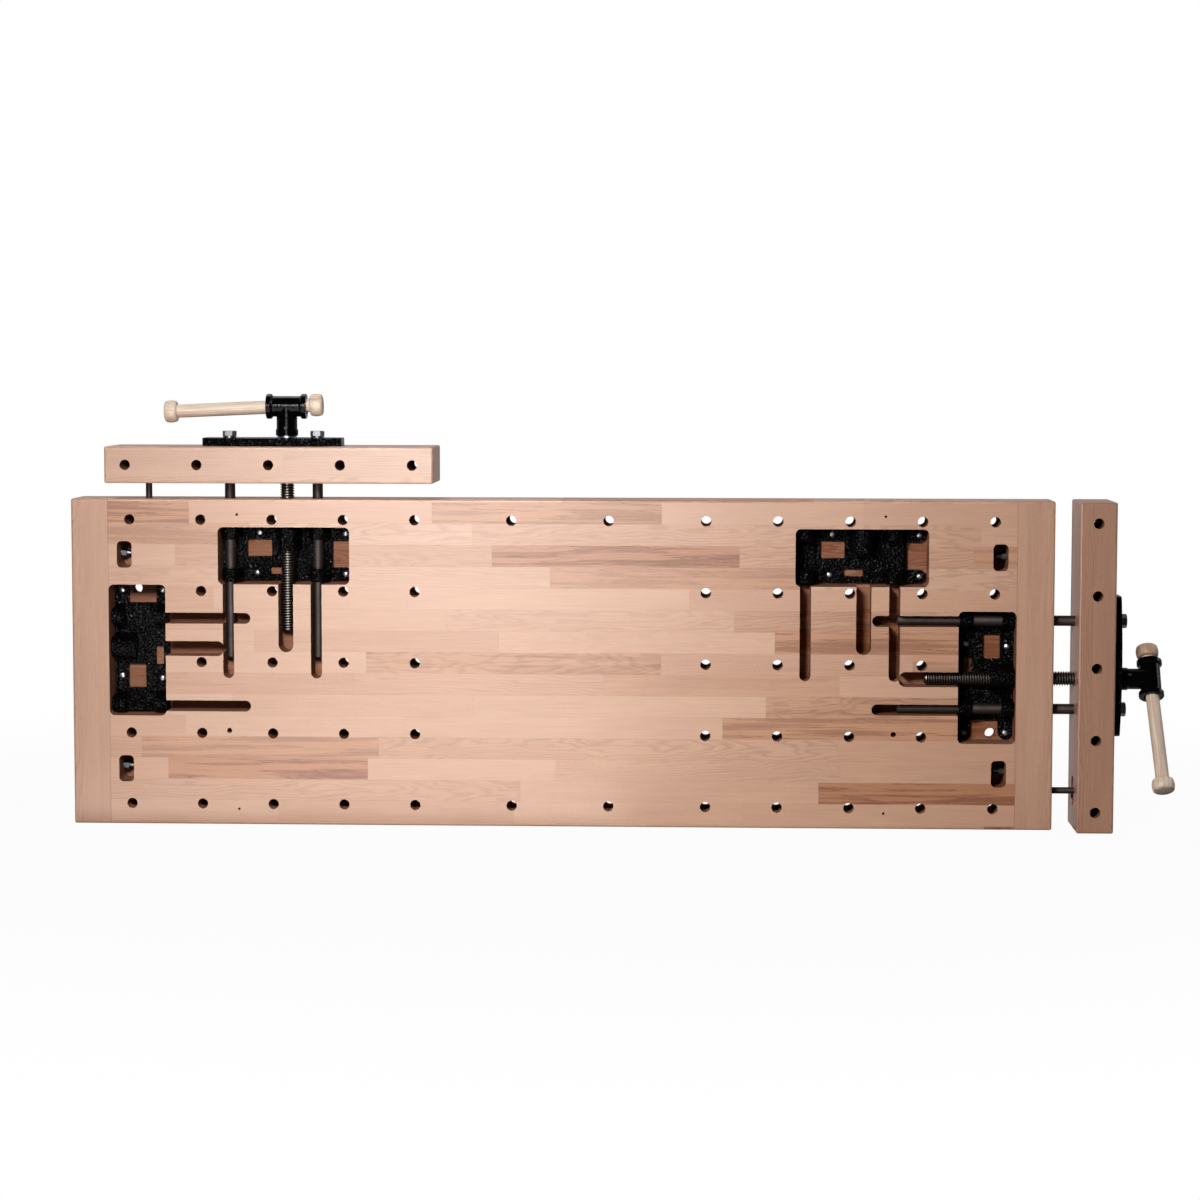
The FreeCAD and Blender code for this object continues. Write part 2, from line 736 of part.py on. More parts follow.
def knob():
    """Barrel-shaped end of a handle on z = 0 with its socket, the crowned end away from the bar."""
    high = knob_length - knob_crown
    inner_rim, outer_rim = Vector(knob_neck_radius, 0, 0), Vector(knob_neck_radius, 0, high)
    sides = [Vector(knob_side_radius, 0, knob_corner), Vector(knob_side_radius, 0, high - knob_corner)]
    out, along = knob_corner_middle
    corner_x = knob_neck_radius + out * (knob_side_radius - knob_neck_radius)
    crown_middle = Vector(knob_neck_radius * knob_crown_middle[0], 0, knob_length - knob_crown * knob_crown_middle[1])
    centre_mark = Vector(knob_mark_radius, 0, knob_length)
    edges = [Part.makeLine(Vector(0, 0, 0), inner_rim),
             Part.Arc(inner_rim, Vector(corner_x, 0, along * knob_corner), sides[0]).toShape(),
             Part.Arc(sides[0], Vector(knob_radius, 0, high / 2), sides[1]).toShape(),
             Part.Arc(sides[1], Vector(corner_x, 0, high - along * knob_corner), outer_rim).toShape(),
             Part.Arc(outer_rim, crown_middle, centre_mark).toShape(),
             Part.makeLine(centre_mark, Vector(0, 0, knob_length)),
             Part.makeLine(Vector(0, 0, knob_length), Vector(0, 0, 0))]
    solid = Part.Face(Part.Wire(edges)).revolve(Vector(0, 0, 0), Vector(0, 0, 1), 360)
    return solid.cut(rod_along_z(handle_radius + knob_fit, -1, knob_socket))


def handle(opening, angle, droop):
    """Bar and its two knobs, slid along until the near knob is close to the hub."""
    frame = handle_frame(opening, angle, droop)
    half = handle_length / 2
    bar_half = half - knob_length + knob_socket
    bar = Part.makeCylinder(handle_radius, 2 * bar_half, Vector(handle_slide - bar_half, 0, 0), Vector(1, 0, 0))
    knobs = {}
    for name, side in (("far", 1), ("near", -1)):
        piece = knob()
        piece.rotate(Vector(0, 0, 0), Vector(0, 1, 0), 90 * side)
        piece.translate(Vector(handle_slide + side * (half - knob_length), 0, 0))
        knobs[f"handle_{name}_knob"] = [placed(piece, frame)]
    return {"handle_bar": [placed(bar, frame)], **knobs}


def vise_pieces(name):
    """All the moving pieces of one vise, in the frame of the whole."""
    body_name, opening, side, angle, droop = vises[name]
    plate_at = FreeCAD.Placement(Vector(0, 0, opening + jaw_thickness), FreeCAD.Rotation())
    pin, flange = guide_pin(opening, side * pin_offset)
    pieces = {
        "jaw": [jaw(opening, side)],
        "plate": [placed(front_plate(), plate_at)],
        "plate_screws": [placed(s, plate_at) for s in plate_screws()],
        "rod_near_spare": [guide_rod(opening, rod_places[0])],
        "rod_near_screw": [guide_rod(opening, rod_places[1])],
        "rod_bolts": rod_bolts(opening),
        "rod_lock_washers": lock_washers(opening),
        "guide_pin": [pin],
        "guide_pin_flange": [flange],
    }
    pieces.update(spindle(opening, angle))
    pieces.update(handle(opening, angle, droop))
    place = vise_place(body_name)
    return {f"{name}_{key}": [placed(s, place) for s in solids] for key, solids in pieces.items()}


def all_pieces():
    wood = wooden_top()
    bodies, pilots = fitted_bodies()
    wood["top_panel"] = wood["top_panel"].cut(pilots)
    pieces = {name: [shape] for name, shape in wood.items()}
    pieces.update(cap_fasteners())
    pieces["left_cap_spline"] = [spline_box(-1)]
    pieces["right_cap_spline"] = [spline_box(1)]
    pieces.update(bodies)
    for name in vises:
        pieces.update(vise_pieces(name))
    return pieces


os.makedirs("parts", exist_ok=True)
for node, shapes in all_pieces().items():
    solids = [solid for shape in shapes for solid in shape.Solids]
    whole = solids[0] if len(solids) == 1 else Part.makeCompound(solids)
    whole.exportStep(f"parts/{node}.step")
    print(node, len(solids), "valid" if whole.isValid() else "NOT VALID", round(whole.Volume))
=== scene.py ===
"""Finish of a beech bench top with two fitted screw vises and two spare vise bodies.

Laid out as an add-on: property groups hold the sizes, colours and studio settings, and each operator finishes
or models one kind of piece. A panel in the sidebar lists both. Run as a script, it makes all of it in order.
"""
import json
import math

import bmesh
import bpy
from mathutils import Matrix, Vector


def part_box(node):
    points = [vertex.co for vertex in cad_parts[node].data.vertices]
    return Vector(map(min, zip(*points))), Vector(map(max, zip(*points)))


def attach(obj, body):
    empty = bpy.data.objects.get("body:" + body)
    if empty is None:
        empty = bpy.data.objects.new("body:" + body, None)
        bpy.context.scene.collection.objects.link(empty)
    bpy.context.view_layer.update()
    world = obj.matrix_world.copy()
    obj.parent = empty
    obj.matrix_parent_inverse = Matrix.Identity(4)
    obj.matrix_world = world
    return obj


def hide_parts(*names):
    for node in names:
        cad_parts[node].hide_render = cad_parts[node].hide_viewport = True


bl_info = {
    "name": "Bench Top Finish",
    "version": (1, 0, 0),
    "blender": (4, 5, 0),
    "location": "3D View > Sidebar > Bench",
    "description": "Beech, black castings, threads and a plain studio for a bench top with screw vises",
    "category": "Object",
}

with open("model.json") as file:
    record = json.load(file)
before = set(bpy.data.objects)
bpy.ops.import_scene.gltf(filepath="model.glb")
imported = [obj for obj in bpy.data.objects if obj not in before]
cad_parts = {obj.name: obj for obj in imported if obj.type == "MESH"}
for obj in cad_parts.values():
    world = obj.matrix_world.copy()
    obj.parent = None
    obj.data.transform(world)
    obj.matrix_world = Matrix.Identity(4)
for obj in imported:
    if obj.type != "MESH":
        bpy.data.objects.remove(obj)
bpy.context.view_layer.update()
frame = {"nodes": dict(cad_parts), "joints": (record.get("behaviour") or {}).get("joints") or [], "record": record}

VISES = ("front", "end")
BODIES = ("front_left", "front_right", "left_end", "right_end")
SMOOTH_ANGLE = math.radians(40)
JOURNAL_SHARE = 8.5 / 11  # of a lead screw's radius
# The crests are lighter partly as rubbed metal and partly as painted highlight.
BRIGHT_CREST = 0.2  # of the depth of a lead screw's thread, rubbed fully bright
SHANK_SHARE = 4.0 / 6.5  # of a draw bolt's head radius
HEAD_HEIGHT_SHARE = 8.0 / 13  # of a draw bolt's head diameter
HEAD_OVERLAP = 0.0005  # metres that a shank reaches into its head
RECESS_TURN = 1.1  # radians between the cross recesses of one body screw and the next
# Deeper than this skin the wood is also darkened with painted shade.
WOOD_SKIN = 0.001  # metres inside a board's box from which its wood is bare
SEAM_HALF_WIDTH = 0.0006  # metres
NO_SEAM = -1.0  # a distance from the middle that no point has
LONG_BOARD = 3.0  # metres between butt joints, more than a cap or jaw is long
LOWEST_STAVE_CUT = 0.85  # share of the panel's lowest stave that is sawn off
ROW_SHIFT = 413.0  # boards by which one row may be shifted along another
TREE_JUMP = 900.0  # millimetres of grain for 1 in boards' random values, and from one handle to the other
DARKEST_SHARE = 0.85  # most that beech goes towards the colour of its flecks
MIRRORED_WHITE = 0.45  # how white a reflection shows what is behind the bench


# Settings

def length(name, description, size):
    """A length that is written in millimetres and kept in metres."""
    return bpy.props.FloatProperty(name=name, description=description, default=size / 1000,
                                   unit="LENGTH", precision=5, min=0.0)


def hex_colour(name, description, value):
    """A colour that is kept as an sRGB hex value."""
    description += ", as an sRGB hex value"
    return bpy.props.StringProperty(name=name, description=description, default=value)


class BenchSizes(bpy.types.PropertyGroup):
    """Sizes that the finish needs and the frame doesn't hold."""
    stave_width: length("Stave Width", "Width of the staves glued into the panel", 33.0)
    stave_length: length("Stave Length", "Mean length of a stave between two butt joints", 380.0)
    cap_board: length("Cap Board", "Width of the boards glued into an end cap", 28.5)
    jaw_board: length("Jaw Board", "Width of the boards glued into a jaw", 38.5)
    glue_line: length("Glue Line", "Width of a joint as it shows on the surface", 0.5)
    screw_pitch: length("Screw Pitch", "Travel of a jaw for one turn of its screw", 4.0)
    screw_thread: length("Screw Thread Depth", "Height of the lead screw's thread", 1.9)
    bolt_pitch: length("Draw Bolt Pitch", "Pitch of the draw bolts in the caps", 1.25)
    bolt_thread: length("Draw Bolt Thread Depth", "Height of the draw bolts' thread", 0.7)
    screw_head: length("Body Screw Head", "Height of a body screw's round head", 3.0)
    cross_width: length("Cross Recess Width", "Width of the slots in a body screw's head", 1.2)
    cross_length: length("Cross Recess Length", "Length of the slots in a body screw's head", 5.4)
    hammer_cell: length("Hammer Cell", "Size of the dimples in the castings' hammered paint", 3.6)


class BenchColours(bpy.types.PropertyGroup):
    """Colours of the finish."""
    beech_pale: hex_colour("Beech Pale", "Palest staves", "#D5A98D")
    beech_middle: hex_colour("Beech Middle", "Most staves", "#CB9C7F")
    beech_brown: hex_colour("Beech Brown", "Browner staves", "#C4906C")
    beech_heart: hex_colour("Beech Heart", "Staves with heartwood", "#B97F5A")
    # Beech Fleck is also the colour of the painted shade in pockets, holes and darkened pieces.
    beech_fleck: hex_colour("Beech Fleck", "Rays and dark grain lines", "#6E381F")
    handle_wood: hex_colour("Handle Wood", "Turned handles", "#EAD6C1")
    handle_grain: hex_colour("Handle Grain", "Grain of the turned handles", "#B48C6C")
    black_paint: hex_colour("Black Paint", "Castings and hubs", "#060506")
    steel: hex_colour("Steel", "Drawn rods and pins", "#564D49")
    thread: hex_colour("Thread Steel", "Crests of the lead screws' threads", "#827A73")
    # Thread Root is partly oil and partly painted shade in the roots.
    thread_root: hex_colour("Thread Root", "Oily roots of the lead screws' threads", "#1A1412")
    zinc: hex_colour("Zinc", "Plated screws, bolts and washers", "#B9BBC0")
    black_oxide: hex_colour("Black Oxide", "Blackened screws", "#2A2828")


class BenchStudio(bpy.types.PropertyGroup):
    """Camera, lamps and ground."""
    camera_place: bpy.props.FloatVectorProperty(
        name="Camera Place", description="Where the camera stands", size=3, subtype="XYZ", unit="LENGTH",
        default=(0.24898, -4.57245, 0.71978))
    camera_aim: bpy.props.FloatVectorProperty(
        name="Camera Aim", description="Point on the underside in the middle of the picture", size=3,
        subtype="XYZ", unit="LENGTH", default=(0.0615, -0.0425, 0.35088))
    camera_roll: bpy.props.FloatProperty(
        name="Camera Roll", description="Turn of the camera about its own line of sight", subtype="ANGLE",
        default=math.radians(0.067))
    camera_angle: bpy.props.FloatProperty(
        name="Camera Angle", description="Field of view of the square picture", subtype="ANGLE",
        default=math.radians(22.842))
    key_power: bpy.props.FloatProperty(
        name="Key Power", description="Soft lamp on the left, nearer than the camera and higher",
        subtype="POWER", default=28.0, min=0.0)
    strip_power: bpy.props.FloatProperty(
        name="Strip Power", description="Upright and flat soft lamps that show only as sheen",
        subtype="POWER", default=24.0, min=0.0)
    rear_power: bpy.props.FloatProperty(
        name="Rear Power", description="Soft lamp above the bench, behind it", subtype="POWER", default=30.0,
        min=0.0)
    side_power: bpy.props.FloatProperty(
        name="Side Power", description="Soft lamp on the right, a little behind the bench",
        subtype="POWER", default=15.0, min=0.0)
    room_light: bpy.props.FloatProperty(
        name="Room Light", description="Strength of the light from all round", default=0.035, min=0.0)
    ground_size: bpy.props.FloatProperty(
        name="Ground Size", description="Side of the square ground", unit="LENGTH", default=30.0, min=1.0)
    ground_colour: hex_colour("Ground Colour", "Board that the bench stands on", "#8A8A8A")


def settings():
    scene = bpy.context.scene
    return scene.bench_sizes, scene.bench_colours, scene.bench_studio


# Materials

def linear(hex_value):
    """Linear colour of an sRGB hex value."""
    channels = [int(hex_value[i:i + 2], 16) / 255 for i in (1, 3, 5)]
    return [c / 12.92 if c <= 0.04045 else ((c + 0.055) / 1.055) ** 2.4 for c in channels] + [1.0]


def darker(colour, share):
    return [channel * share for channel in colour[:3]] + [1.0]


def add_node(tree, kind, inputs=(), out=None, **options):
    """Adds a node with its options, fills or links its inputs, and gives its output.

    Inputs come in order, or by name or number. The output is the first one in use unless out names others.
    """
    node = tree.nodes.new(kind)
    for name, value in options.items():
        setattr(node, name, value)
    for name, value in (inputs if isinstance(inputs, dict) else dict(enumerate(inputs))).items():
        if isinstance(value, bpy.types.NodeSocket):
            tree.links.new(value, node.inputs[name])
        else:
            node.inputs[name].default_value = value
    if out is None:
        return next((socket for socket in node.outputs if socket.enabled), None)
    return node.outputs[out]


def new_material(name):
    """Empty material with a shader and its output."""
    material = bpy.data.materials.new(name)
    material.use_nodes = True
    tree = material.node_tree
    tree.nodes.clear()
    shader = tree.nodes.new("ShaderNodeBsdfPrincipled")
    add_node(tree, "ShaderNodeOutputMaterial", {"Surface": shader.outputs[0]})
    return material, tree, shader


def fill_shader(tree, shader, inputs):
    """Links or sets the shader's inputs by name."""
    for name, value in inputs.items():
        if isinstance(value, bpy.types.NodeSocket):
            tree.links.new(value, shader.inputs[name])
        else:
            shader.inputs[name].default_value = value


def inside_wood(tree, low, high, skin):
    """1 where a point lies deeper than the skin in a board's box, as in its pockets and holes, else 0."""
    place = add_node(tree, "ShaderNodeTexCoord", out="Object")
    depth = max(high) - min(low)
    for axis, value in enumerate(add_node(tree, "ShaderNodeSeparateXYZ", (place,), slice(0, 3))):
        centre, half = (low[axis] + high[axis]) / 2, (high[axis] - low[axis]) / 2
        off = add_node(tree, "ShaderNodeMath", (value, centre), operation="SUBTRACT")
        off = add_node(tree, "ShaderNodeMath", (off,), operation="ABSOLUTE")
        from_face = add_node(tree, "ShaderNodeMath", (half, off), operation="SUBTRACT")
        depth = add_node(tree, "ShaderNodeMath", (from_face, depth), operation="MINIMUM")
    return add_node(tree, "ShaderNodeMath", (depth, skin), operation="GREATER_THAN")


def millimetres(tree, rotation=(0.0, 0.0, 0.0), shift=(0.0, 0.0, 0.0)):
    """Place on the piece in millimetres, turned so that the grain runs along X."""
    place = add_node(tree, "ShaderNodeTexCoord", out="Object")
    return add_node(tree, "ShaderNodeMapping", {"Vector": place, "Rotation": rotation, "Location": shift,
                                                "Scale": (1000.0, 1000.0, 1000.0)})


def stretched_noise(tree, place, per_millimetre, detail=3.0, roughness=0.6):
    """Noise with its own scale along each axis, in cycles per millimetre."""
    scaled = add_node(tree, "ShaderNodeVectorMath", (place, per_millimetre), operation="MULTIPLY")
    return add_node(tree, "ShaderNodeTexNoise", {"Vector": scaled, "Scale": 1.0, "Detail": detail,
                                                 "Roughness": roughness})


def glued_boards(tree, x, z, board, board_length, seed):
    """Boards along X, edge to edge up Z: three random values of each, the joints, and Z within a board."""
    glue = settings()[0].glue_line * 1000
    row_place = add_node(tree, "ShaderNodeMath", (z, board), operation="DIVIDE")
    row = add_node(tree, "ShaderNodeMath", (row_place,), operation="FLOOR")
    row_seed = add_node(tree, "ShaderNodeMath", (row, seed), operation="ADD")
    row_random = add_node(tree, "ShaderNodeTexWhiteNoise", {"W": row_seed}, noise_dimensions="1D")
    row_start = add_node(tree, "ShaderNodeMath", (row_random, ROW_SHIFT), operation="MULTIPLY")
    along = add_node(tree, "ShaderNodeMath", (x, 1 / board_length, row_start), operation="MULTIPLY_ADD")
    ends = {"W": along, "Scale": 1.0, "Randomness": 0.75}
    random = add_node(tree, "ShaderNodeTexVoronoi", ends, "Color", voronoi_dimensions="1D")
    from_end = add_node(tree, "ShaderNodeTexVoronoi", ends, voronoi_dimensions="1D",
                        feature="DISTANCE_TO_EDGE")
    butt = add_node(tree, "ShaderNodeMath", (from_end, glue * 0.5 / board_length), operation="LESS_THAN")
    across = add_node(tree, "ShaderNodeMath", (row_place,), operation="FRACT")
    across = add_node(tree, "ShaderNodeMath", (across, 0.5), operation="SUBTRACT")
    from_middle = add_node(tree, "ShaderNodeMath", (across,), operation="ABSOLUTE")
    side = add_node(tree, "ShaderNodeMath", (from_middle, 0.5 - glue * 0.5 / board), operation="GREATER_THAN")
    joint = add_node(tree, "ShaderNodeMath", (butt, side), operation="MAXIMUM")
    local = add_node(tree, "ShaderNodeMath", (across, board), operation="MULTIPLY")
    return add_node(tree, "ShaderNodeSeparateColor", (random,), slice(0, 3)), joint, local


def beech(name, box, board, board_length, seed, rotation=(0.0, 0.0, 0.0), shift=(0.0, 0.0, 0.0), spread=1.0,
          brown=0.0, darker_wood_and_shade=0.0, seam=NO_SEAM):
    """Beech boards glued edge to edge, planed, sanded and oiled. Pockets and holes are left bare and rough,
    and they are darker, partly as bare wood and partly as painted shade.

    Each board has a tone of its own. Growth rings show as arches where it is flat sawn, and as straight lines
    where it is quarter sawn. Rays show as short dark dashes, and heartwood as brown boards with dark streaks. A
    dark line marks the seam with an end cap, at its distance from the middle of the top.
    """
    _, colours, _ = settings()
    material, tree, shader = new_material(name)
    place = millimetres(tree, rotation, shift)
    x, y, z = add_node(tree, "ShaderNodeSeparateXYZ", (place,), slice(0, 3))
    (tone, figure, hue), joint, local = glued_boards(tree, x, z, board * 1000, board_length * 1000, seed)
    tone = add_node(tree, "ShaderNodeMath", (tone, spread, brown), operation="MULTIPLY_ADD", use_clamp=True)

    # Grain: each board is cut from another place in the tree
    jump = add_node(tree, "ShaderNodeMath", (figure, hue), operation="ADD")
    jump = add_node(tree, "ShaderNodeMath", (jump, TREE_JUMP), operation="MULTIPLY")
    moved_x = add_node(tree, "ShaderNodeMath", (x, jump), operation="ADD")
    moved_y = add_node(tree, "ShaderNodeMath", (y, jump), operation="ADD")
    grain = add_node(tree, "ShaderNodeCombineXYZ", (moved_x, moved_y, z))
    drift = stretched_noise(tree, grain, (0.004, 0.025, 0.025), 3.0)
    # growth rings 3.4 mm apart, round a pith that leans away from the board's face by 35 mm in a metre
    pith_side = add_node(tree, "ShaderNodeMath", (hue, 110.0, -55.0), operation="MULTIPLY_ADD")
    from_pith = add_node(tree, "ShaderNodeMath", (local, pith_side), operation="SUBTRACT")
    pith_depth = add_node(tree, "ShaderNodeMath", (figure, 70.0, -35.0), operation="MULTIPLY_ADD")
    pith_depth = add_node(tree, "ShaderNodeMath", (x, 0.035, pith_depth), operation="MULTIPLY_ADD")
    pith_depth = add_node(tree, "ShaderNodeMath", (drift, 34.0, pith_depth), operation="MULTIPLY_ADD")
    across = add_node(tree, "ShaderNodeCombineXYZ", (from_pith, pith_depth, 0.0))
    radius = add_node(tree, "ShaderNodeVectorMath", (across,), operation="LENGTH")
    radius = add_node(tree, "ShaderNodeMath", (drift, 9.0, radius), operation="MULTIPLY_ADD")
    rings = add_node(tree, "ShaderNodeMath", (radius, math.tau / 3.4), operation="MULTIPLY")
    rings = add_node(tree, "ShaderNodeMath", (rings,), operation="SINE")
    rings = add_node(tree, "ShaderNodeMapRange", (rings, -0.2, 1.0))
    # vessels: fine lines along the grain, drawn 0.8 mm wide so that they show
    vessels = stretched_noise(tree, grain, (0.012, 1.3, 1.3))
    lines = add_node(tree, "ShaderNodeMapRange", (vessels, 0.45, 0.75))
    # rays: dashes 4 mm long and 0.7 mm wide
    dash = add_node(tree, "ShaderNodeVectorMath", (grain, (0.16, 0.9, 0.9)), operation="MULTIPLY")
    rays = add_node(tree, "ShaderNodeTexVoronoi", {"Vector": dash, "Scale": 1.0})
    rays = add_node(tree, "ShaderNodeMapRange", (rays, 0.10, 0.32, 1.0, 0.0))
    # heartwood: wide brown streaks and thin dark veins, only in the brown boards
    heart = stretched_noise(tree, grain, (0.0045, 0.11, 0.11), 4.0, 0.55)
    veins = add_node(tree, "ShaderNodeMath", (heart, 0.53), operation="SUBTRACT")
    veins = add_node(tree, "ShaderNodeMath", (veins,), operation="ABSOLUTE")
    veins = add_node(tree, "ShaderNodeMapRange", (veins, 0.0, 0.012, 1.0, 0.0))
    streaks = add_node(tree, "ShaderNodeMapRange", (heart, 0.48, 0.62))
    in_heart = add_node(tree, "ShaderNodeMapRange", (tone, 0.6, 0.95))

    # Colour: the board's own, then everything that darkens it added up, painted shade included
    ramp = add_node(tree, "ShaderNodeValToRGB", (tone,), "Color")
    stops = ramp.node.color_ramp.elements
    stops[0].position, stops[0].color = 0.0, linear(colours.beech_pale)
    stops[1].position, stops[1].color = 1.0, linear(colours.beech_heart)
    for position, colour in ((0.62, colours.beech_middle), (0.86, colours.beech_brown)):
        stops.new(position).color = linear(colour)
    figured = add_node(tree, "ShaderNodeMapRange", (figure, 0.55, 1.0, 0.03, 0.24))
    dashed = add_node(tree, "ShaderNodeMath", (hue, 0.2, 0.02), operation="MULTIPLY_ADD")
    streaked = add_node(tree, "ShaderNodeMath", (in_heart, 0.56), operation="MULTIPLY")
    veined = add_node(tree, "ShaderNodeMath", (in_heart, 0.62), operation="MULTIPLY")
    # Pockets and holes go darker: partly bare wood, partly painted shade.
    bare_and_shaded = inside_wood(tree, *box, WOOD_SKIN)
    metres = add_node(tree, "ShaderNodeTexCoord", out="Object")
    off_middle = add_node(tree, "ShaderNodeSeparateXYZ", (metres,), "X")
    off_middle = add_node(tree, "ShaderNodeMath", (off_middle,), operation="ABSOLUTE")
    seam_line = add_node(tree, "ShaderNodeMath", (off_middle, seam, SEAM_HALF_WIDTH), operation="COMPARE")
    # This share darkens a whole piece: partly darker wood, partly painted shade.
    dark = add_node(tree, "ShaderNodeMapRange", (drift, 0.35, 0.7, darker_wood_and_shade, darker_wood_and_shade + 0.1))
    for pattern, share in ((rings, figured), (lines, 0.2), (rays, dashed), (streaks, streaked),
                           (veins, veined), (joint, 0.16), (bare_and_shaded, 0.58), (seam_line, 0.3)):
        dark = add_node(tree, "ShaderNodeMath", (pattern, share, dark), operation="MULTIPLY_ADD")
    dark = add_node(tree, "ShaderNodeMath", (dark, DARKEST_SHARE), operation="MINIMUM")
    fleck = linear(colours.beech_fleck)
    colour = add_node(tree, "ShaderNodeMix", {0: dark, 6: ramp, 7: fleck}, data_type="RGBA")

    # Oiled surface: the vessels are a little duller than the rest, and bare wood doesn't shine
    dull = add_node(tree, "ShaderNodeMath", (bare_and_shaded, 0.5, 0.3), operation="MULTIPLY_ADD")
    rough = add_node(tree, "ShaderNodeMath", (vessels, 0.14, dull), operation="MULTIPLY_ADD")
    height = 0.0
    for pattern, share in ((rays, -0.5), (vessels, -1.0), (joint, -2.0)):
        height = add_node(tree, "ShaderNodeMath", (pattern, share, height), operation="MULTIPLY_ADD")
    bump = add_node(tree, "ShaderNodeBump", {"Height": height, "Strength": 0.12, "Distance": 0.0004})
    oiled = add_node(tree, "ShaderNodeMath", (bare_and_shaded, -0.6, 0.65), operation="MULTIPLY_ADD")
    fill_shader(tree, shader, {"Base Color": colour, "Roughness": rough, "Normal": bump,
                               "Specular IOR Level": oiled})
    return material


def turned_wood(name, rotation, shift, brown=0.0):
    """Pale close-grained wood turned on a lathe and sanded: straight brown grain lines and a soft sheen.

    The brown share, 0 for pale wood, moves all of it towards the colour of the grain.
    """
    _, colours, _ = settings()
    material, tree, shader = new_material(name)
    place = millimetres(tree, rotation, shift)
    lines = stretched_noise(tree, place, (0.012, 0.5, 0.5), 4.0)
    bands = stretched_noise(tree, place, (0.006, 0.09, 0.09), 2.0)
    pores = add_node(tree, "ShaderNodeVectorMath", (place, (0.25, 1.1, 1.1)), operation="MULTIPLY")
    pores = add_node(tree, "ShaderNodeTexVoronoi", {"Vector": pores, "Scale": 1.0})
    pores = add_node(tree, "ShaderNodeMapRange", (pores, 0.08, 0.3, 0.35, 0.0))
    share = add_node(tree, "ShaderNodeMath", (bands, 0.6, -0.3), operation="MULTIPLY_ADD")
    share = add_node(tree, "ShaderNodeMath", (lines, 0.75, share), operation="MULTIPLY_ADD")
    share = add_node(tree, "ShaderNodeMapRange", (share, 0.3, 0.62, brown, brown + 0.9))
    share = add_node(tree, "ShaderNodeMath", (share, pores), operation="ADD", use_clamp=True)
    wood, grain = linear(colours.handle_wood), linear(colours.handle_grain)
    colour = add_node(tree, "ShaderNodeMix", {0: share, 6: wood, 7: grain}, data_type="RGBA")
    bump = add_node(tree, "ShaderNodeBump", {"Height": lines, "Strength": 0.15, "Distance": 0.0003})
    fill_shader(tree, shader, {"Base Color": colour, "Roughness": 0.5, "Normal": bump})
    return material


def hammered_paint(name):
    """Black hammered enamel on cast iron: dimples a few millimetres wide that break a lamp into sparks."""
    sizes, colours, _ = settings()
    material, tree, shader = new_material(name)
    place = millimetres(tree)
    cell = 1 / (sizes.hammer_cell * 1000)
    dimples = add_node(tree, "ShaderNodeTexVoronoi", {"Vector": place, "Scale": cell, "Smoothness": 0.3},
                       feature="SMOOTH_F1")
    runs = add_node(tree, "ShaderNodeTexNoise", {"Vector": place, "Scale": cell * 0.7, "Detail": 2.0})
    height = add_node(tree, "ShaderNodeMath", (runs, 0.3, dimples), operation="MULTIPLY_ADD")
    bump = add_node(tree, "ShaderNodeBump", {"Height": height, "Strength": 1.0, "Distance": 0.002})
    black = linear(colours.black_paint)
    colour = add_node(tree, "ShaderNodeMix", {0: runs, 6: darker(black, 0.7), 7: darker(black, 1.5)},
                      data_type="RGBA")
    rough = add_node(tree, "ShaderNodeMath", (runs, 0.08, 0.03), operation="MULTIPLY_ADD")
    fill_shader(tree, shader, {"Base Color": colour, "Roughness": rough, "Normal": bump,
                               "Specular IOR Level": 0.05})
    return material


def gloss_paint(name):
    """Black enamel on a malleable iron fitting: glossy, with the casting's slow unevenness under it."""
    _, colours, _ = settings()
    material, tree, shader = new_material(name)
    uneven = add_node(tree, "ShaderNodeTexNoise", {"Vector": millimetres(tree), "Scale": 0.22, "Detail": 3.0,
                                                   "Roughness": 0.6})
    bump = add_node(tree, "ShaderNodeBump", {"Height": uneven, "Strength": 0.3, "Distance": 0.0012})
    rough = add_node(tree, "ShaderNodeMath", (uneven, 0.05, 0.02), operation="MULTIPLY_ADD")
    fill_shader(tree, shader, {"Base Color": linear(colours.black_paint), "Roughness": rough, "Normal": bump,
                               "Specular IOR Level": 0.1})
    return material


def bare_metal(name, colour, rotation, grain, worn, dull):
    """Metal with a noise for its grain, darker worn patches and a dull film.

    The grain is in cycles per millimetre along each axis, worn is the share of the colour that the patches keep,
    and dull is the least roughness.
    """
    material, tree, shader = new_material(name)
    turned = millimetres(tree, rotation)
    lines = stretched_noise(tree, turned, grain, 4.0, 0.7)
    stain = stretched_noise(tree, turned, (0.06, 0.06, 0.06), 4.0)
    share = add_node(tree, "ShaderNodeMath", (lines, stain), operation="MULTIPLY")
    share = add_node(tree, "ShaderNodeMapRange", (share, 0.1, 0.45))
    base = add_node(tree, "ShaderNodeMix", {0: share, 6: colour, 7: darker(colour, worn)}, data_type="RGBA")
    rough = add_node(tree, "ShaderNodeMath", (lines, 0.2, dull), operation="MULTIPLY_ADD")
    bump = add_node(tree, "ShaderNodeBump", {"Height": lines, "Strength": 0.1, "Distance": 0.0002})
    fill_shader(tree, shader, {"Base Color": base, "Metallic": 1.0, "Roughness": rough, "Normal": bump})
    return material


def drawn_steel(name, rotation=(0.0, 0.0, 0.0), share=1.0):
    """Drawn steel bar: die lines along it and a satin sheen, darkened to a share as painted shade."""
    colour = darker(linear(settings()[1].steel), share)
    return bare_metal(name, colour, rotation, grain=(0.01, 1.6, 1.6), worn=0.5, dull=0.48)


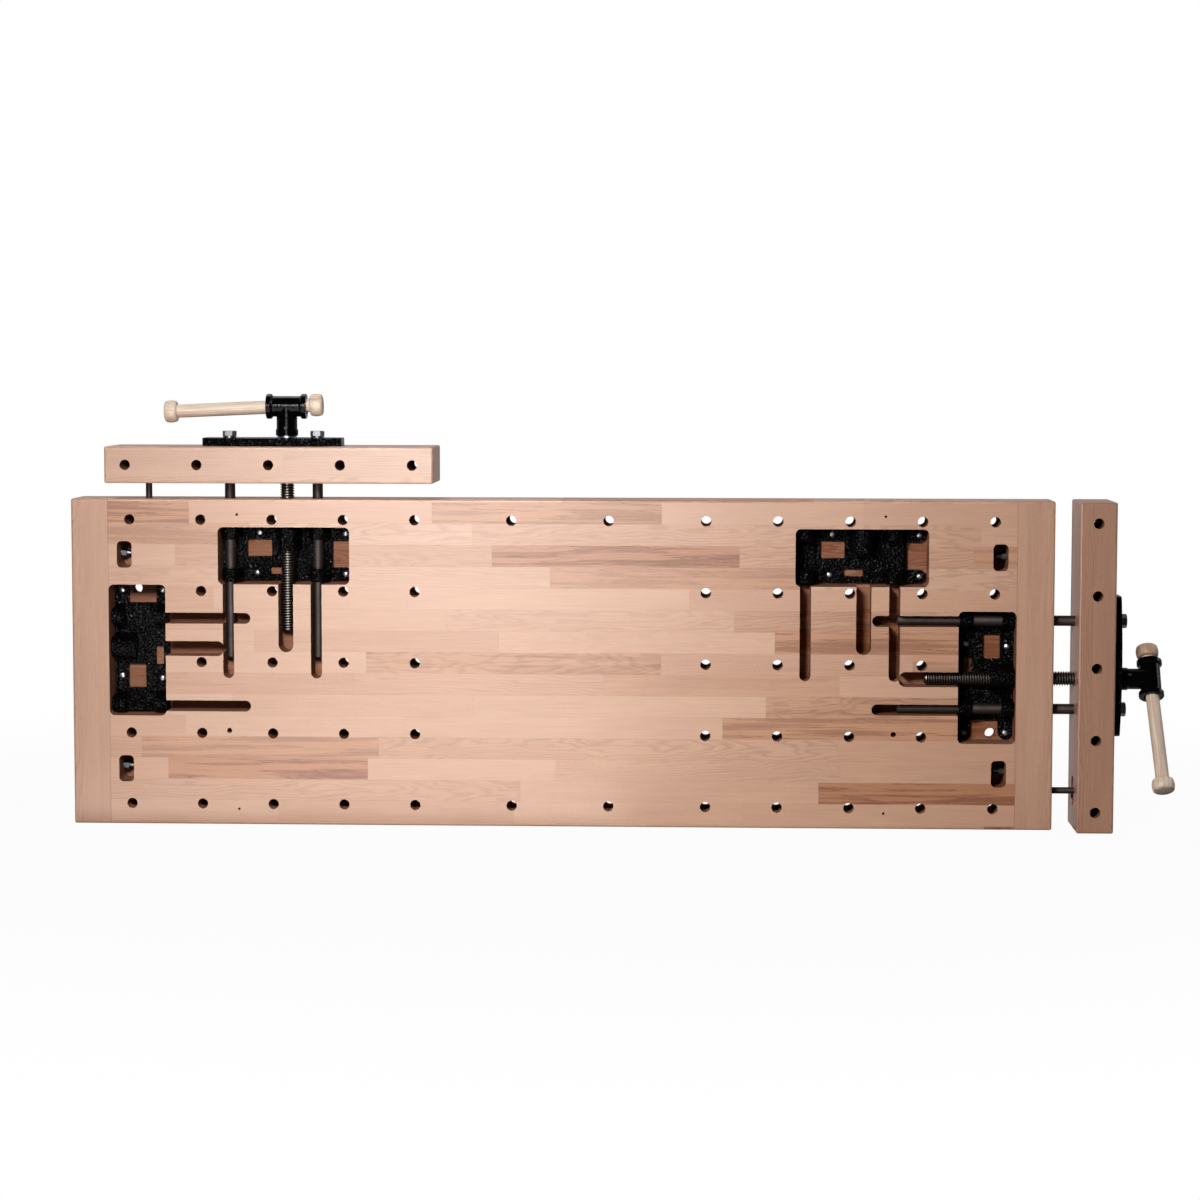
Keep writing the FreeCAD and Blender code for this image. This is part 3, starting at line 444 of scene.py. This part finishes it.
def cut_steel(name, turn, shift, root, crest):
    """Steel with a cut thread: crests lighter, partly rubbed bright by the nut and partly painted highlight, and
    roots darker, partly oil and dust and partly painted shade.

    The screw's axis is turned and shifted onto X, and root and crest are radii in millimetres.
    """
    _, colours, _ = settings()
    material, tree, shader = new_material(name)
    place = millimetres(tree, turn, shift)
    marks = stretched_noise(tree, place, (0.4, 0.4, 0.4), 4.0, 0.7)
    across = add_node(tree, "ShaderNodeVectorMath", (place, (0.0, 1.0, 1.0)), operation="MULTIPLY")
    radius = add_node(tree, "ShaderNodeVectorMath", (across,), operation="LENGTH")
    # Lighter towards the crest and darker towards the root: partly rubbed metal and oil, partly painted highlight
    # and shade.
    rub_and_highlight = add_node(tree, "ShaderNodeMapRange", (radius, (root + crest) / 2, crest))
    rub_and_highlight = add_node(tree, "ShaderNodeMath", (marks, 0.2, rub_and_highlight), operation="MULTIPLY_ADD", use_clamp=True)
    dark, bright = linear(colours.thread_root), linear(colours.thread)
    colour = add_node(tree, "ShaderNodeMix", {0: rub_and_highlight, 6: dark, 7: bright}, data_type="RGBA")
    fill_shader(tree, shader, {"Base Color": colour, "Metallic": 1.0, "Roughness": 0.34})
    return material


def zinc_plate(name, share=1.0):
    """Zinc plate on a cold-formed fastener: pale grey metal with a fine bloom, darkened to a share."""
    colour = darker(linear(settings()[1].zinc), share)
    return bare_metal(name, colour, (0.0, 0.0, 0.0), grain=(0.7, 0.7, 0.7), worn=0.6, dull=0.22)


def black_oxide(name):
    """Blackened steel screw: dark metal with a dull oily film."""
    colour = linear(settings()[1].black_oxide)
    return bare_metal(name, colour, (0.0, 0.0, 0.0), grain=(0.7, 0.7, 0.7), worn=0.6, dull=0.3)


# Meshes

def give_material(piece, material):
    piece.data.materials.clear()
    piece.data.materials.append(material)


def finish_nodes(names, material):
    for name in names:
        give_material(frame["nodes"][name], material)


def body_of_node(name):
    """Name of the CAD body that a node rides on."""
    return next(body for body, nodes in frame["record"]["behaviour"]["bodies"].items() if name in nodes)


def solid_boxes(name):
    """Lowest and highest corner of each separate solid in a node."""
    mesh = bmesh.new()
    mesh.from_mesh(frame["nodes"][name].data)
    bmesh.ops.remove_doubles(mesh, verts=mesh.verts, dist=1e-6)
    left = set(mesh.verts)
    boxes = []
    while left:
        open_ends = [left.pop()]
        places = []
        while open_ends:
            vert = open_ends.pop()
            places.append(vert.co.copy())
            for edge in vert.link_edges:
                other = edge.other_vert(vert)
                if other in left:
                    left.remove(other)
                    open_ends.append(other)
        boxes.append([Vector([side(place[i] for place in places) for i in range(3)]) for side in (min, max)])
    mesh.free()
    return boxes


def add_copy(mesh, part, matrix):
    """Adds a part made in its own frame to a mesh, and frees the part."""
    bmesh.ops.transform(part, matrix=matrix, verts=part.verts)
    data = bpy.data.meshes.new("part")
    part.to_mesh(data)
    part.free()
    mesh.from_mesh(data)
    bpy.data.meshes.remove(data)


def replace_node(mesh, node, material):
    """Puts a finished mesh in the scene in place of a node."""
    bmesh.ops.recalc_face_normals(mesh, faces=mesh.faces)
    data = bpy.data.meshes.new(node + "_detail")
    mesh.to_mesh(data)
    mesh.free()
    data.shade_smooth()
    data.set_sharp_from_angle(angle=SMOOTH_ANGLE)
    piece = bpy.data.objects.new(node + "_detail", data)
    bpy.context.scene.collection.objects.link(piece)
    give_material(piece, material)
    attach(piece, body_of_node(node))
    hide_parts(node)


def verts_of(geometry):
    """The vertices among what a bmesh operator gives."""
    return [part for part in geometry if isinstance(part, bmesh.types.BMVert)]


def edges_of(geometry):
    """The edges among what a bmesh operator gives."""
    return [part for part in geometry if isinstance(part, bmesh.types.BMEdge)]


def threaded_bar(low, high, radius, depth, pitch, segments, taper=0.0, tip=0.0):
    """Right-hand thread along Z with flat closed ends. Its lower end narrows to the tip over the taper."""
    mesh = bmesh.new()
    flank, crest = pitch * 0.2, pitch * 0.3
    profile = [(radius - depth, 0.0), (radius, flank), (radius, flank + crest),
               (radius - depth, 2 * flank + crest), (radius - depth, pitch)]
    start = low - 1.5 * pitch
    verts = [mesh.verts.new((r, 0.0, start + height)) for r, height in profile]
    edges = [mesh.edges.new(pair) for pair in zip(verts, verts[1:])]
    bmesh.ops.spin(mesh, geom=verts + edges, cent=(0, 0, 0), axis=(0, 0, 1), dvec=(0, 0, pitch / segments),
                   angle=math.tau, steps=segments)
    # one turn, doubled until there are enough of them
    turns = 1
    while turns < (high - low) / pitch + 3:
        copied = bmesh.ops.duplicate(mesh, geom=mesh.verts[:] + mesh.edges[:] + mesh.faces[:])["geom"]
        bmesh.ops.translate(mesh, vec=(0, 0, turns * pitch), verts=verts_of(copied))
        turns *= 2
    bmesh.ops.remove_doubles(mesh, verts=mesh.verts, dist=pitch / 100)
    for height, side in ((low, -1), (high, 1)):
        cut = bmesh.ops.bisect_plane(mesh, geom=mesh.verts[:] + mesh.edges[:] + mesh.faces[:], dist=1e-7,
                                     plane_co=(0, 0, height), plane_no=(0, 0, side), clear_outer=True)
        bmesh.ops.holes_fill(mesh, edges=edges_of(cut["geom_cut"]), sides=0)
    for vert in mesh.verts:
        if vert.co.z < low + taper:
            widest = tip + (radius - tip) * (vert.co.z - low) / taper
            across = vert.co.xy.length
            if across > widest:
                vert.co.xy *= widest / across
    return mesh


def turned_bar(profile, segments):
    """Solid of revolution about Z from (radius, height) points that start and end on the axis."""
    mesh = bmesh.new()
    verts = [mesh.verts.new((r, 0.0, height)) for r, height in profile]
    edges = [mesh.edges.new(pair) for pair in zip(verts, verts[1:])]
    bmesh.ops.spin(mesh, geom=verts + edges, cent=(0, 0, 0), axis=(0, 0, 1), dvec=(0, 0, 0), angle=math.tau,
                   steps=segments, use_merge=True)
    bmesh.ops.remove_doubles(mesh, verts=mesh.verts, dist=1e-7)
    return mesh


def cross_head(radius, height, slot_length, slot_width):
    """Round head standing on Z = 0, with a cross recess: a grid pulled round and domed.

    Until the last step the head is 1 high and 1 in radius, so the sizes below are shares of it.
    """
    mesh = bmesh.new()
    half_width, half_length = slot_width / 2 / radius, slot_length / 2 / radius
    outer_line, rim_height, recess_depth, recess_floor = 0.85, 0.35, 0.45, 0.8
    lines = (-1.0, -outer_line, -half_length, -half_width, half_width, half_length, outer_line, 1.0)
    cells = len(lines) - 1
    bmesh.ops.create_grid(mesh, x_segments=cells, y_segments=cells, size=1.0)
    index = {round(-1 + 2 * i / cells, 3): line for i, line in enumerate(lines)}
    for vert in mesh.verts:
        vert.co.x, vert.co.y = index[round(vert.co.x, 3)], index[round(vert.co.y, 3)]
    recess = []
    for face in mesh.faces:
        across, along = sorted(abs(c) for c in face.calc_center_median().xy)
        if across < half_width and along < half_length:
            recess.append(face)
    for vert in mesh.verts:
        x, y = vert.co.xy
        vert.co.xy = (x * math.sqrt(1 - y * y / 2), y * math.sqrt(1 - x * x / 2))
        dome = math.sqrt(max(0.0, 1 - vert.co.xy.length_squared))
        vert.co.z = rim_height + (1 - rim_height) * dome
    sunk = verts_of(bmesh.ops.extrude_face_region(mesh, geom=recess)["geom"])
    bmesh.ops.delete(mesh, geom=recess, context="FACES_ONLY")
    bmesh.ops.scale(mesh, vec=(recess_floor, recess_floor, 1.0), verts=sunk)
    bmesh.ops.translate(mesh, vec=(0, 0, -recess_depth), verts=sunk)
    rim = [edge for edge in mesh.edges if edge.is_boundary]
    lower = bmesh.ops.extrude_edge_only(mesh, edges=rim)["geom"]
    bmesh.ops.translate(mesh, vec=(0, 0, -rim_height), verts=verts_of(lower))
    bmesh.ops.holes_fill(mesh, edges=edges_of(lower), sides=0)
    bmesh.ops.scale(mesh, vec=(radius, radius, height), verts=mesh.verts)
    return mesh


def socket_head(radius, height, flats, depth, segments=24):
    """Round head from Z = 0 down, with a hexagon socket in its top."""
    mesh = bmesh.new()
    rim = bmesh.ops.create_circle(mesh, segments=segments, radius=radius)["verts"]
    socket = bmesh.ops.create_circle(mesh, segments=segments, radius=flats / 2)["verts"]
    for vert in socket:
        angle = math.atan2(vert.co.y, vert.co.x) % math.radians(60) - math.radians(30)
        vert.co.xy /= math.cos(angle)
    loops = [{edge for vert in loop for edge in vert.link_edges} for loop in (rim, socket)]
    bmesh.ops.bridge_loops(mesh, edges=list(loops[0] | loops[1]))
    for loop, drop in ((loops[0], height), (loops[1], depth)):
        lower = bmesh.ops.extrude_edge_only(mesh, edges=list(loop))["geom"]
        bmesh.ops.translate(mesh, vec=(0, 0, -drop), verts=verts_of(lower))
        bmesh.ops.holes_fill(mesh, edges=edges_of(lower), sides=0)
    return mesh


def screw_frame(vise):
    """Matrix from a frame with Z along a vise's screw and its origin on the jaw's outer face."""
    joint = next(joint for joint in frame["joints"] if joint["name"] == vise + "_screw_turn")
    turn = Vector((0, 0, 1)).rotation_difference(Vector(joint["axis"]))
    return Matrix.Translation(joint["pos_m"]) @ turn.to_matrix().to_4x4()


def heights(node, place):
    """Lowest and highest Z of a node in another frame."""
    inverse = place.inverted()
    values = [(inverse @ vert.co).z for vert in frame["nodes"][node].data.vertices]
    return min(values), max(values)


def middle(node):
    low, high = (Vector(corner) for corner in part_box(node))
    return (low + high) / 2


# Pieces

class BENCH_OT_top(bpy.types.Operator):
    """Finish the glued panel, its end caps and the splines between them"""
    bl_idname = "bench.top"
    bl_label = "Finish Top"

    def execute(self, context):
        sizes, _, _ = settings()
        whole = (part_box("left_end_cap")[0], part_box("right_end_cap")[1])
        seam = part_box("top_panel")[1][0]
        panel = beech("planed_beech_panel", whole, board=sizes.stave_width, board_length=sizes.stave_length,
                      seed=11.0, shift=(0.0, 0.0, sizes.stave_width * 1000 * LOWEST_STAVE_CUT), seam=seam)
        finish_nodes(["top_panel"], panel)
        upright = (0.0, math.radians(90), 0.0)
        for number, side in enumerate(("left", "right")):
            # Each cap is darkened by a share that is partly darker wood and partly painted shade.
            cap = beech(f"planed_beech_{side}_cap", whole, board=sizes.cap_board, board_length=LONG_BOARD,
                        seed=31.0 + 7 * number, rotation=upright, spread=0.3, brown=0.2, darker_wood_and_shade=0.12,
                        seam=seam)
            finish_nodes([f"{side}_end_cap", f"{side}_cap_spline"], cap)
        return {"FINISHED"}


class BENCH_OT_jaws(bpy.types.Operator):
    """Finish the two wooden jaws"""
    bl_idname = "bench.jaws"
    bl_label = "Finish Jaws"

    def execute(self, context):
        sizes, _, _ = settings()
        turns = {"front": (0.0, 0.0, 0.0), "end": (0.0, math.radians(90), 0.0)}
        for number, vise in enumerate(VISES):
            # Each jaw is darkened by a share that is partly darker wood and partly painted shade.
            jaw = beech(f"planed_beech_{vise}_jaw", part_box(f"{vise}_jaw"), board=sizes.jaw_board,
                        board_length=LONG_BOARD, seed=57.0 + 5 * number, rotation=turns[vise], spread=0.1,
                        brown=0.1 + 0.4 * number, darker_wood_and_shade=0.12 + 0.16 * number)
            finish_nodes([f"{vise}_jaw"], jaw)
        return {"FINISHED"}


class BENCH_OT_castings(bpy.types.Operator):
    """Finish the four vise bodies, and the plate and hub of each fitted vise"""
    bl_idname = "bench.castings"
    bl_label = "Finish Castings"

    def execute(self, context):
        hammered = [f"{body}_vise_body" for body in BODIES] + [f"{vise}_plate" for vise in VISES]
        finish_nodes(hammered, hammered_paint("hammered_black_enamel"))
        finish_nodes([f"{vise}_hub" for vise in VISES], gloss_paint("smooth_black_enamel"))
        return {"FINISHED"}


class BENCH_OT_bright_parts(bpy.types.Operator):
    """Finish the rods, pins, washers, nuts and bolts"""
    bl_idname = "bench.bright_parts"
    bl_label = "Finish Bright Parts"

    def execute(self, context):
        # The front vise's steel is darker as painted shade.
        drawn = {"front": drawn_steel("drawn_steel_upright_painted_shade", (0.0, math.radians(90), 0.0), 0.7),
                 "end": drawn_steel("drawn_steel_level")}
        zinc = zinc_plate("zinc_plate")
        darker_zinc = zinc_plate("darker_zinc_plate", 0.3)
        black = black_oxide("black_oxide")
        bars = ("rod_near_spare", "rod_near_screw", "guide_pin", "screw_collar", "collar_pin", "hub_pin")
        finish_nodes(["cap_washers", "cap_nuts"], darker_zinc)
        for vise in VISES:
            finish_nodes([f"{vise}_{piece}" for piece in bars], drawn[vise])
            finish_nodes([f"{vise}_{piece}" for piece in ("thrust_washer", "guide_pin_flange")], zinc)
            finish_nodes([f"{vise}_{piece}" for piece in ("rod_bolts", "rod_lock_washers")], darker_zinc)
            finish_nodes([f"{vise}_plate_screws"], black)
        return {"FINISHED"}


class BENCH_OT_lead_screws(bpy.types.Operator):
    """Make the two lead screws with their trapezoidal thread and plain journal"""
    bl_idname = "bench.lead_screws"
    bl_label = "Make Lead Screws"

    def execute(self, context):
        sizes, _, _ = settings()
        chamfer, overlap = 0.002, 0.001
        for vise in VISES:
            node = f"{vise}_lead_screw"
            place = screw_frame(vise)
            to_x = (place.to_3x3() @ Vector((0, 0, 1))).rotation_difference(Vector((1, 0, 0)))
            shift = -(to_x @ place.translation) * 1000
            inner, outer = heights(node, place)
            shoulder = heights(f"{vise}_screw_collar", place)[0]
            low, high = (place.inverted() @ Vector(corner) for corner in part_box(node))
            radius = min(abs(high.x - low.x), abs(high.y - low.y)) / 2
            journal = JOURNAL_SHARE * radius
            root = (radius - sizes.screw_thread) * 1000
            crest = (radius - BRIGHT_CREST * sizes.screw_thread) * 1000
            steel = cut_steel(f"cut_steel_thread_{vise}", tuple(to_x.to_euler()), tuple(shift), root, crest)
            mesh = bmesh.new()
            thread = threaded_bar(inner, shoulder, radius, sizes.screw_thread, sizes.screw_pitch, segments=32,
                                  taper=chamfer, tip=radius - chamfer)
            add_copy(mesh, thread, place)
            start = shoulder - overlap
            profile = [(0, start), (journal, start), (journal, outer), (0, outer)]
            add_copy(mesh, turned_bar(profile, segments=48), place)
            replace_node(mesh, node, steel)
        return {"FINISHED"}


class BENCH_OT_body_screws(bpy.types.Operator):
    """Make the round-headed wood screws that hold the vise bodies"""
    bl_idname = "bench.body_screws"
    bl_label = "Make Body Screws"

    def execute(self, context):
        sizes, _, _ = settings()
        zinc = zinc_plate("zinc_plate_screws")
        for body in BODIES:
            node = f"{body}_body_screws"
            mesh = bmesh.new()
            for number, (low, high) in enumerate(solid_boxes(node)):
                centre, radius = (low + high) / 2, (high.x - low.x) / 2
                shank_length = high.y - low.y - sizes.screw_head
                seat = Vector((centre.x, low.y + sizes.screw_head, centre.z))
                recess_turn = Matrix.Rotation(number * RECESS_TURN, 4, "Z")
                turn = Matrix.Rotation(math.radians(90), 4, "X") @ recess_turn
                place = Matrix.Translation(seat) @ turn
                head = cross_head(radius, sizes.screw_head, sizes.cross_length, sizes.cross_width)
                add_copy(mesh, head, place)
                shank = threaded_bar(-shank_length, HEAD_OVERLAP, radius=radius / 2, depth=radius / 8,
                                     pitch=radius / 2, segments=10, taper=radius * 1.5, tip=0.0003)
                add_copy(mesh, shank, place)
            replace_node(mesh, node, zinc)
        return {"FINISHED"}


class BENCH_OT_draw_bolts(bpy.types.Operator):
    """Make the socket-headed draw bolts of the end caps"""
    bl_idname = "bench.draw_bolts"
    bl_label = "Make Draw Bolts"

    def execute(self, context):
        sizes, _, _ = settings()
        chamfer = 0.001
        mesh = bmesh.new()
        for low, high in solid_boxes("cap_bolts"):
            centre, radius = (low + high) / 2, (high.z - low.z) / 2
            side = 1 if centre.x > 0 else -1
            bolt_length = high.x - low.x
            outer = Vector((high.x if side > 0 else low.x, centre.y, centre.z))
            place = Matrix.Translation(outer) @ Matrix.Rotation(math.radians(90 * side), 4, "Y")
            shank = radius * SHANK_SHARE
            head = radius * 2 * HEAD_HEIGHT_SHARE
            add_copy(mesh, socket_head(radius, head, flats=radius, depth=head / 2), place)
            bar = threaded_bar(-bolt_length, -head + HEAD_OVERLAP, shank, sizes.bolt_thread, sizes.bolt_pitch,
                               segments=20, taper=chamfer, tip=shank - chamfer)
            add_copy(mesh, bar, place)
        replace_node(mesh, "cap_bolts", zinc_plate("zinc_plate_bolts"))
        return {"FINISHED"}


class BENCH_OT_handles(bpy.types.Operator):
    """Finish the turned wooden handles"""
    bl_idname = "bench.handles"
    bl_label = "Finish Handles"

    def execute(self, context):
        for number, vise in enumerate(VISES):
            far, near = middle(f"{vise}_handle_far_knob"), middle(f"{vise}_handle_near_knob")
            to_x = (far - near).rotation_difference(Vector((1, 0, 0)))
            shift = -(to_x @ near) * 1000 + Vector((TREE_JUMP * number, 0.0, 0.0))
            turn = tuple(to_x.to_euler())
            wood = turned_wood(f"turned_wood_{vise}", turn, tuple(shift))
            knob = turned_wood(f"turned_wood_{vise}_near_knob", turn, tuple(shift), 0.75 * number)
            finish_nodes([f"{vise}_handle_{piece}" for piece in ("bar", "far_knob")], wood)
            finish_nodes([f"{vise}_handle_near_knob"], knob)
        return {"FINISHED"}


# Studio

def add_lamp(name, place, aim, width, height, power, spread=180.0):
    """Soft rectangular lamp that the camera doesn't see. Its spread is in degrees."""
    data = bpy.data.lights.new(name, "AREA")
    data.shape = "RECTANGLE"
    data.size, data.size_y, data.energy, data.spread = width, height, power, math.radians(spread)
    lamp = bpy.data.objects.new(name, data)
    lamp.location = place
    lamp.rotation_euler = (Vector(aim) - Vector(place)).to_track_quat("-Z", "Y").to_euler()
    lamp.visible_camera = False
    bpy.context.scene.collection.objects.link(lamp)
    return lamp


def seen_as_white(tree, ahead, otherwise):
    """1 to the camera, MIRRORED_WHITE times ahead to a reflection, and otherwise to all other rays."""
    rays = add_node(tree, "ShaderNodeLightPath").node.outputs
    mirrored = add_node(tree, "ShaderNodeMath", (rays["Is Glossy Ray"], rays["Is Transmission Ray"]),
                        operation="MAXIMUM")
    reflected = add_node(tree, "ShaderNodeMath", (ahead, MIRRORED_WHITE), operation="MULTIPLY")
    level = add_node(tree, "ShaderNodeMix", {0: mirrored, 2: otherwise, 3: reflected})
    return add_node(tree, "ShaderNodeMath", (rays["Is Camera Ray"], level), operation="MAXIMUM")


def white_room(strength):
    """World that the camera sees as white.

    A reflection sees it as grey behind the bench and dark behind the camera. To all other rays it gives light of
    this strength from all round.
    """
    world = bpy.data.worlds.new("room")
    world.use_nodes = True
    tree = world.node_tree
    tree.nodes.clear()
    direction = add_node(tree, "ShaderNodeTexCoord", out="Generated")
    ahead = add_node(tree, "ShaderNodeSeparateXYZ", (direction,), "Y")
    ahead = add_node(tree, "ShaderNodeMapRange", (ahead, -0.1, 0.35), interpolation_type="SMOOTHSTEP")
    level = seen_as_white(tree, ahead, strength)
    background = add_node(tree, "ShaderNodeBackground", ((1.0, 1.0, 1.0, 1.0), level))
    add_node(tree, "ShaderNodeOutputWorld", {"Surface": background})
    return world


def pale_ground():
    """Matt grey painted board. The camera sees it white like the room, with a faint shadow near the bench."""
    material = bpy.data.materials.new("matt_grey_board")
    material.use_nodes = True
    tree = material.node_tree
    tree.nodes.clear()
    matt = add_node(tree, "ShaderNodeBsdfDiffuse", (linear(settings()[2].ground_colour),))
    glow = add_node(tree, "ShaderNodeEmission")
    place = add_node(tree, "ShaderNodeTexCoord", out="Object")
    ahead = add_node(tree, "ShaderNodeSeparateXYZ", (place,), "Y")
    ahead = add_node(tree, "ShaderNodeMath", (ahead, 0.0), operation="GREATER_THAN")
    distance = add_node(tree, "ShaderNodeVectorMath", (place,), operation="LENGTH")
    share = add_node(tree, "ShaderNodeMapRange", (distance, 0.9, 2.0, 0.965, 1.0),
                     interpolation_type="SMOOTHSTEP")
    share = add_node(tree, "ShaderNodeMath", (seen_as_white(tree, ahead, 0.0), share), operation="MULTIPLY")
    both = add_node(tree, "ShaderNodeMixShader", (share, matt, glow))
    add_node(tree, "ShaderNodeOutputMaterial", {"Surface": both})
    return material


class BENCH_OT_studio(bpy.types.Operator):
    """Make the camera, lamps, ground and white room"""
    bl_idname = "bench.studio"
    bl_label = "Make Studio"

    def execute(self, context):
        _, _, studio = settings()
        scene = context.scene
        scene.view_settings.view_transform = "Standard"
        camera = bpy.data.objects.new("camera", bpy.data.cameras.new("camera"))
        camera.data.angle = studio.camera_angle
        camera.data.clip_end = 100.0
        place, aim = Vector(studio.camera_place), Vector(studio.camera_aim)
        look = (aim - place).to_track_quat("-Z", "Y").to_matrix().to_4x4()
        camera.matrix_world = Matrix.Translation(place) @ look @ Matrix.Rotation(studio.camera_roll, 4, "Z")
        scene.collection.objects.link(camera)
        scene.camera = camera

        add_lamp("key", place=(-0.42, -2.3, 1.2), aim=(0.08, 0.0, 0.1), width=0.55, height=0.45,
                 power=studio.key_power, spread=122.0)
        strip = add_lamp("strip", place=(-0.38, -2.4, 0.72), aim=(-0.38, 0.0, 0.72), width=0.7, height=1.36,
                         power=studio.strip_power)
        low_strip = add_lamp("low_strip", place=(-0.36, -1.25, 0.005), aim=(-0.36, -1.249, 5.0), width=0.9,
                             height=2.3, power=studio.strip_power * 0.9)
        strip.visible_diffuse = low_strip.visible_diffuse = False
        add_lamp("rear", place=(-0.9, 1.7, 3.0), aim=(0.0, 0.0, 0.25), width=2.0, height=1.4,
                 power=studio.rear_power)
        add_lamp("side", place=(2.7, 0.7, 1.5), aim=(0.8, 0.0, 0.25), width=1.2, height=1.2,
                 power=studio.side_power)
        scene.world = white_room(studio.room_light)

        mesh = bmesh.new()
        bmesh.ops.create_grid(mesh, x_segments=1, y_segments=1, size=studio.ground_size / 2)
        data = bpy.data.meshes.new("ground")
        mesh.to_mesh(data)
        mesh.free()
        ground = bpy.data.objects.new("ground", data)
        scene.collection.objects.link(ground)
        give_material(ground, pale_ground())
        return {"FINISHED"}


class BENCH_PT_finish(bpy.types.Panel):
    """Settings and steps of the bench top's finish"""
    bl_idname = "BENCH_PT_finish"
    bl_label = "Bench Top"
    bl_space_type = "VIEW_3D"
    bl_region_type = "UI"
    bl_category = "Bench"

    def draw(self, context):
        for group in settings():
            box = self.layout.box()
            for name in group.bl_rna.properties.keys():
                if name not in ("rna_type", "name"):
                    box.prop(group, name)
        for step in STEPS:
            self.layout.operator(step.bl_idname)


STEPS = (BENCH_OT_studio, BENCH_OT_top, BENCH_OT_jaws, BENCH_OT_castings, BENCH_OT_bright_parts,
         BENCH_OT_lead_screws, BENCH_OT_body_screws, BENCH_OT_draw_bolts, BENCH_OT_handles)
GROUPS = {"bench_sizes": BenchSizes, "bench_colours": BenchColours, "bench_studio": BenchStudio}


def register():
    for kind in (*GROUPS.values(), *STEPS, BENCH_PT_finish):
        bpy.utils.register_class(kind)
    for name, kind in GROUPS.items():
        setattr(bpy.types.Scene, name, bpy.props.PointerProperty(type=kind))


def unregister():
    for name in GROUPS:
        delattr(bpy.types.Scene, name)
    for kind in (BENCH_PT_finish, *reversed(STEPS), *GROUPS.values()):
        bpy.utils.unregister_class(kind)


def main():
    register()
    bpy.ops.bench.studio()
    bpy.ops.bench.top()
    bpy.ops.bench.jaws()
    bpy.ops.bench.castings()
    bpy.ops.bench.bright_parts()
    bpy.ops.bench.lead_screws()
    bpy.ops.bench.body_screws()
    bpy.ops.bench.draw_bolts()
    bpy.ops.bench.handles()


if __name__ == "__main__":
    main()
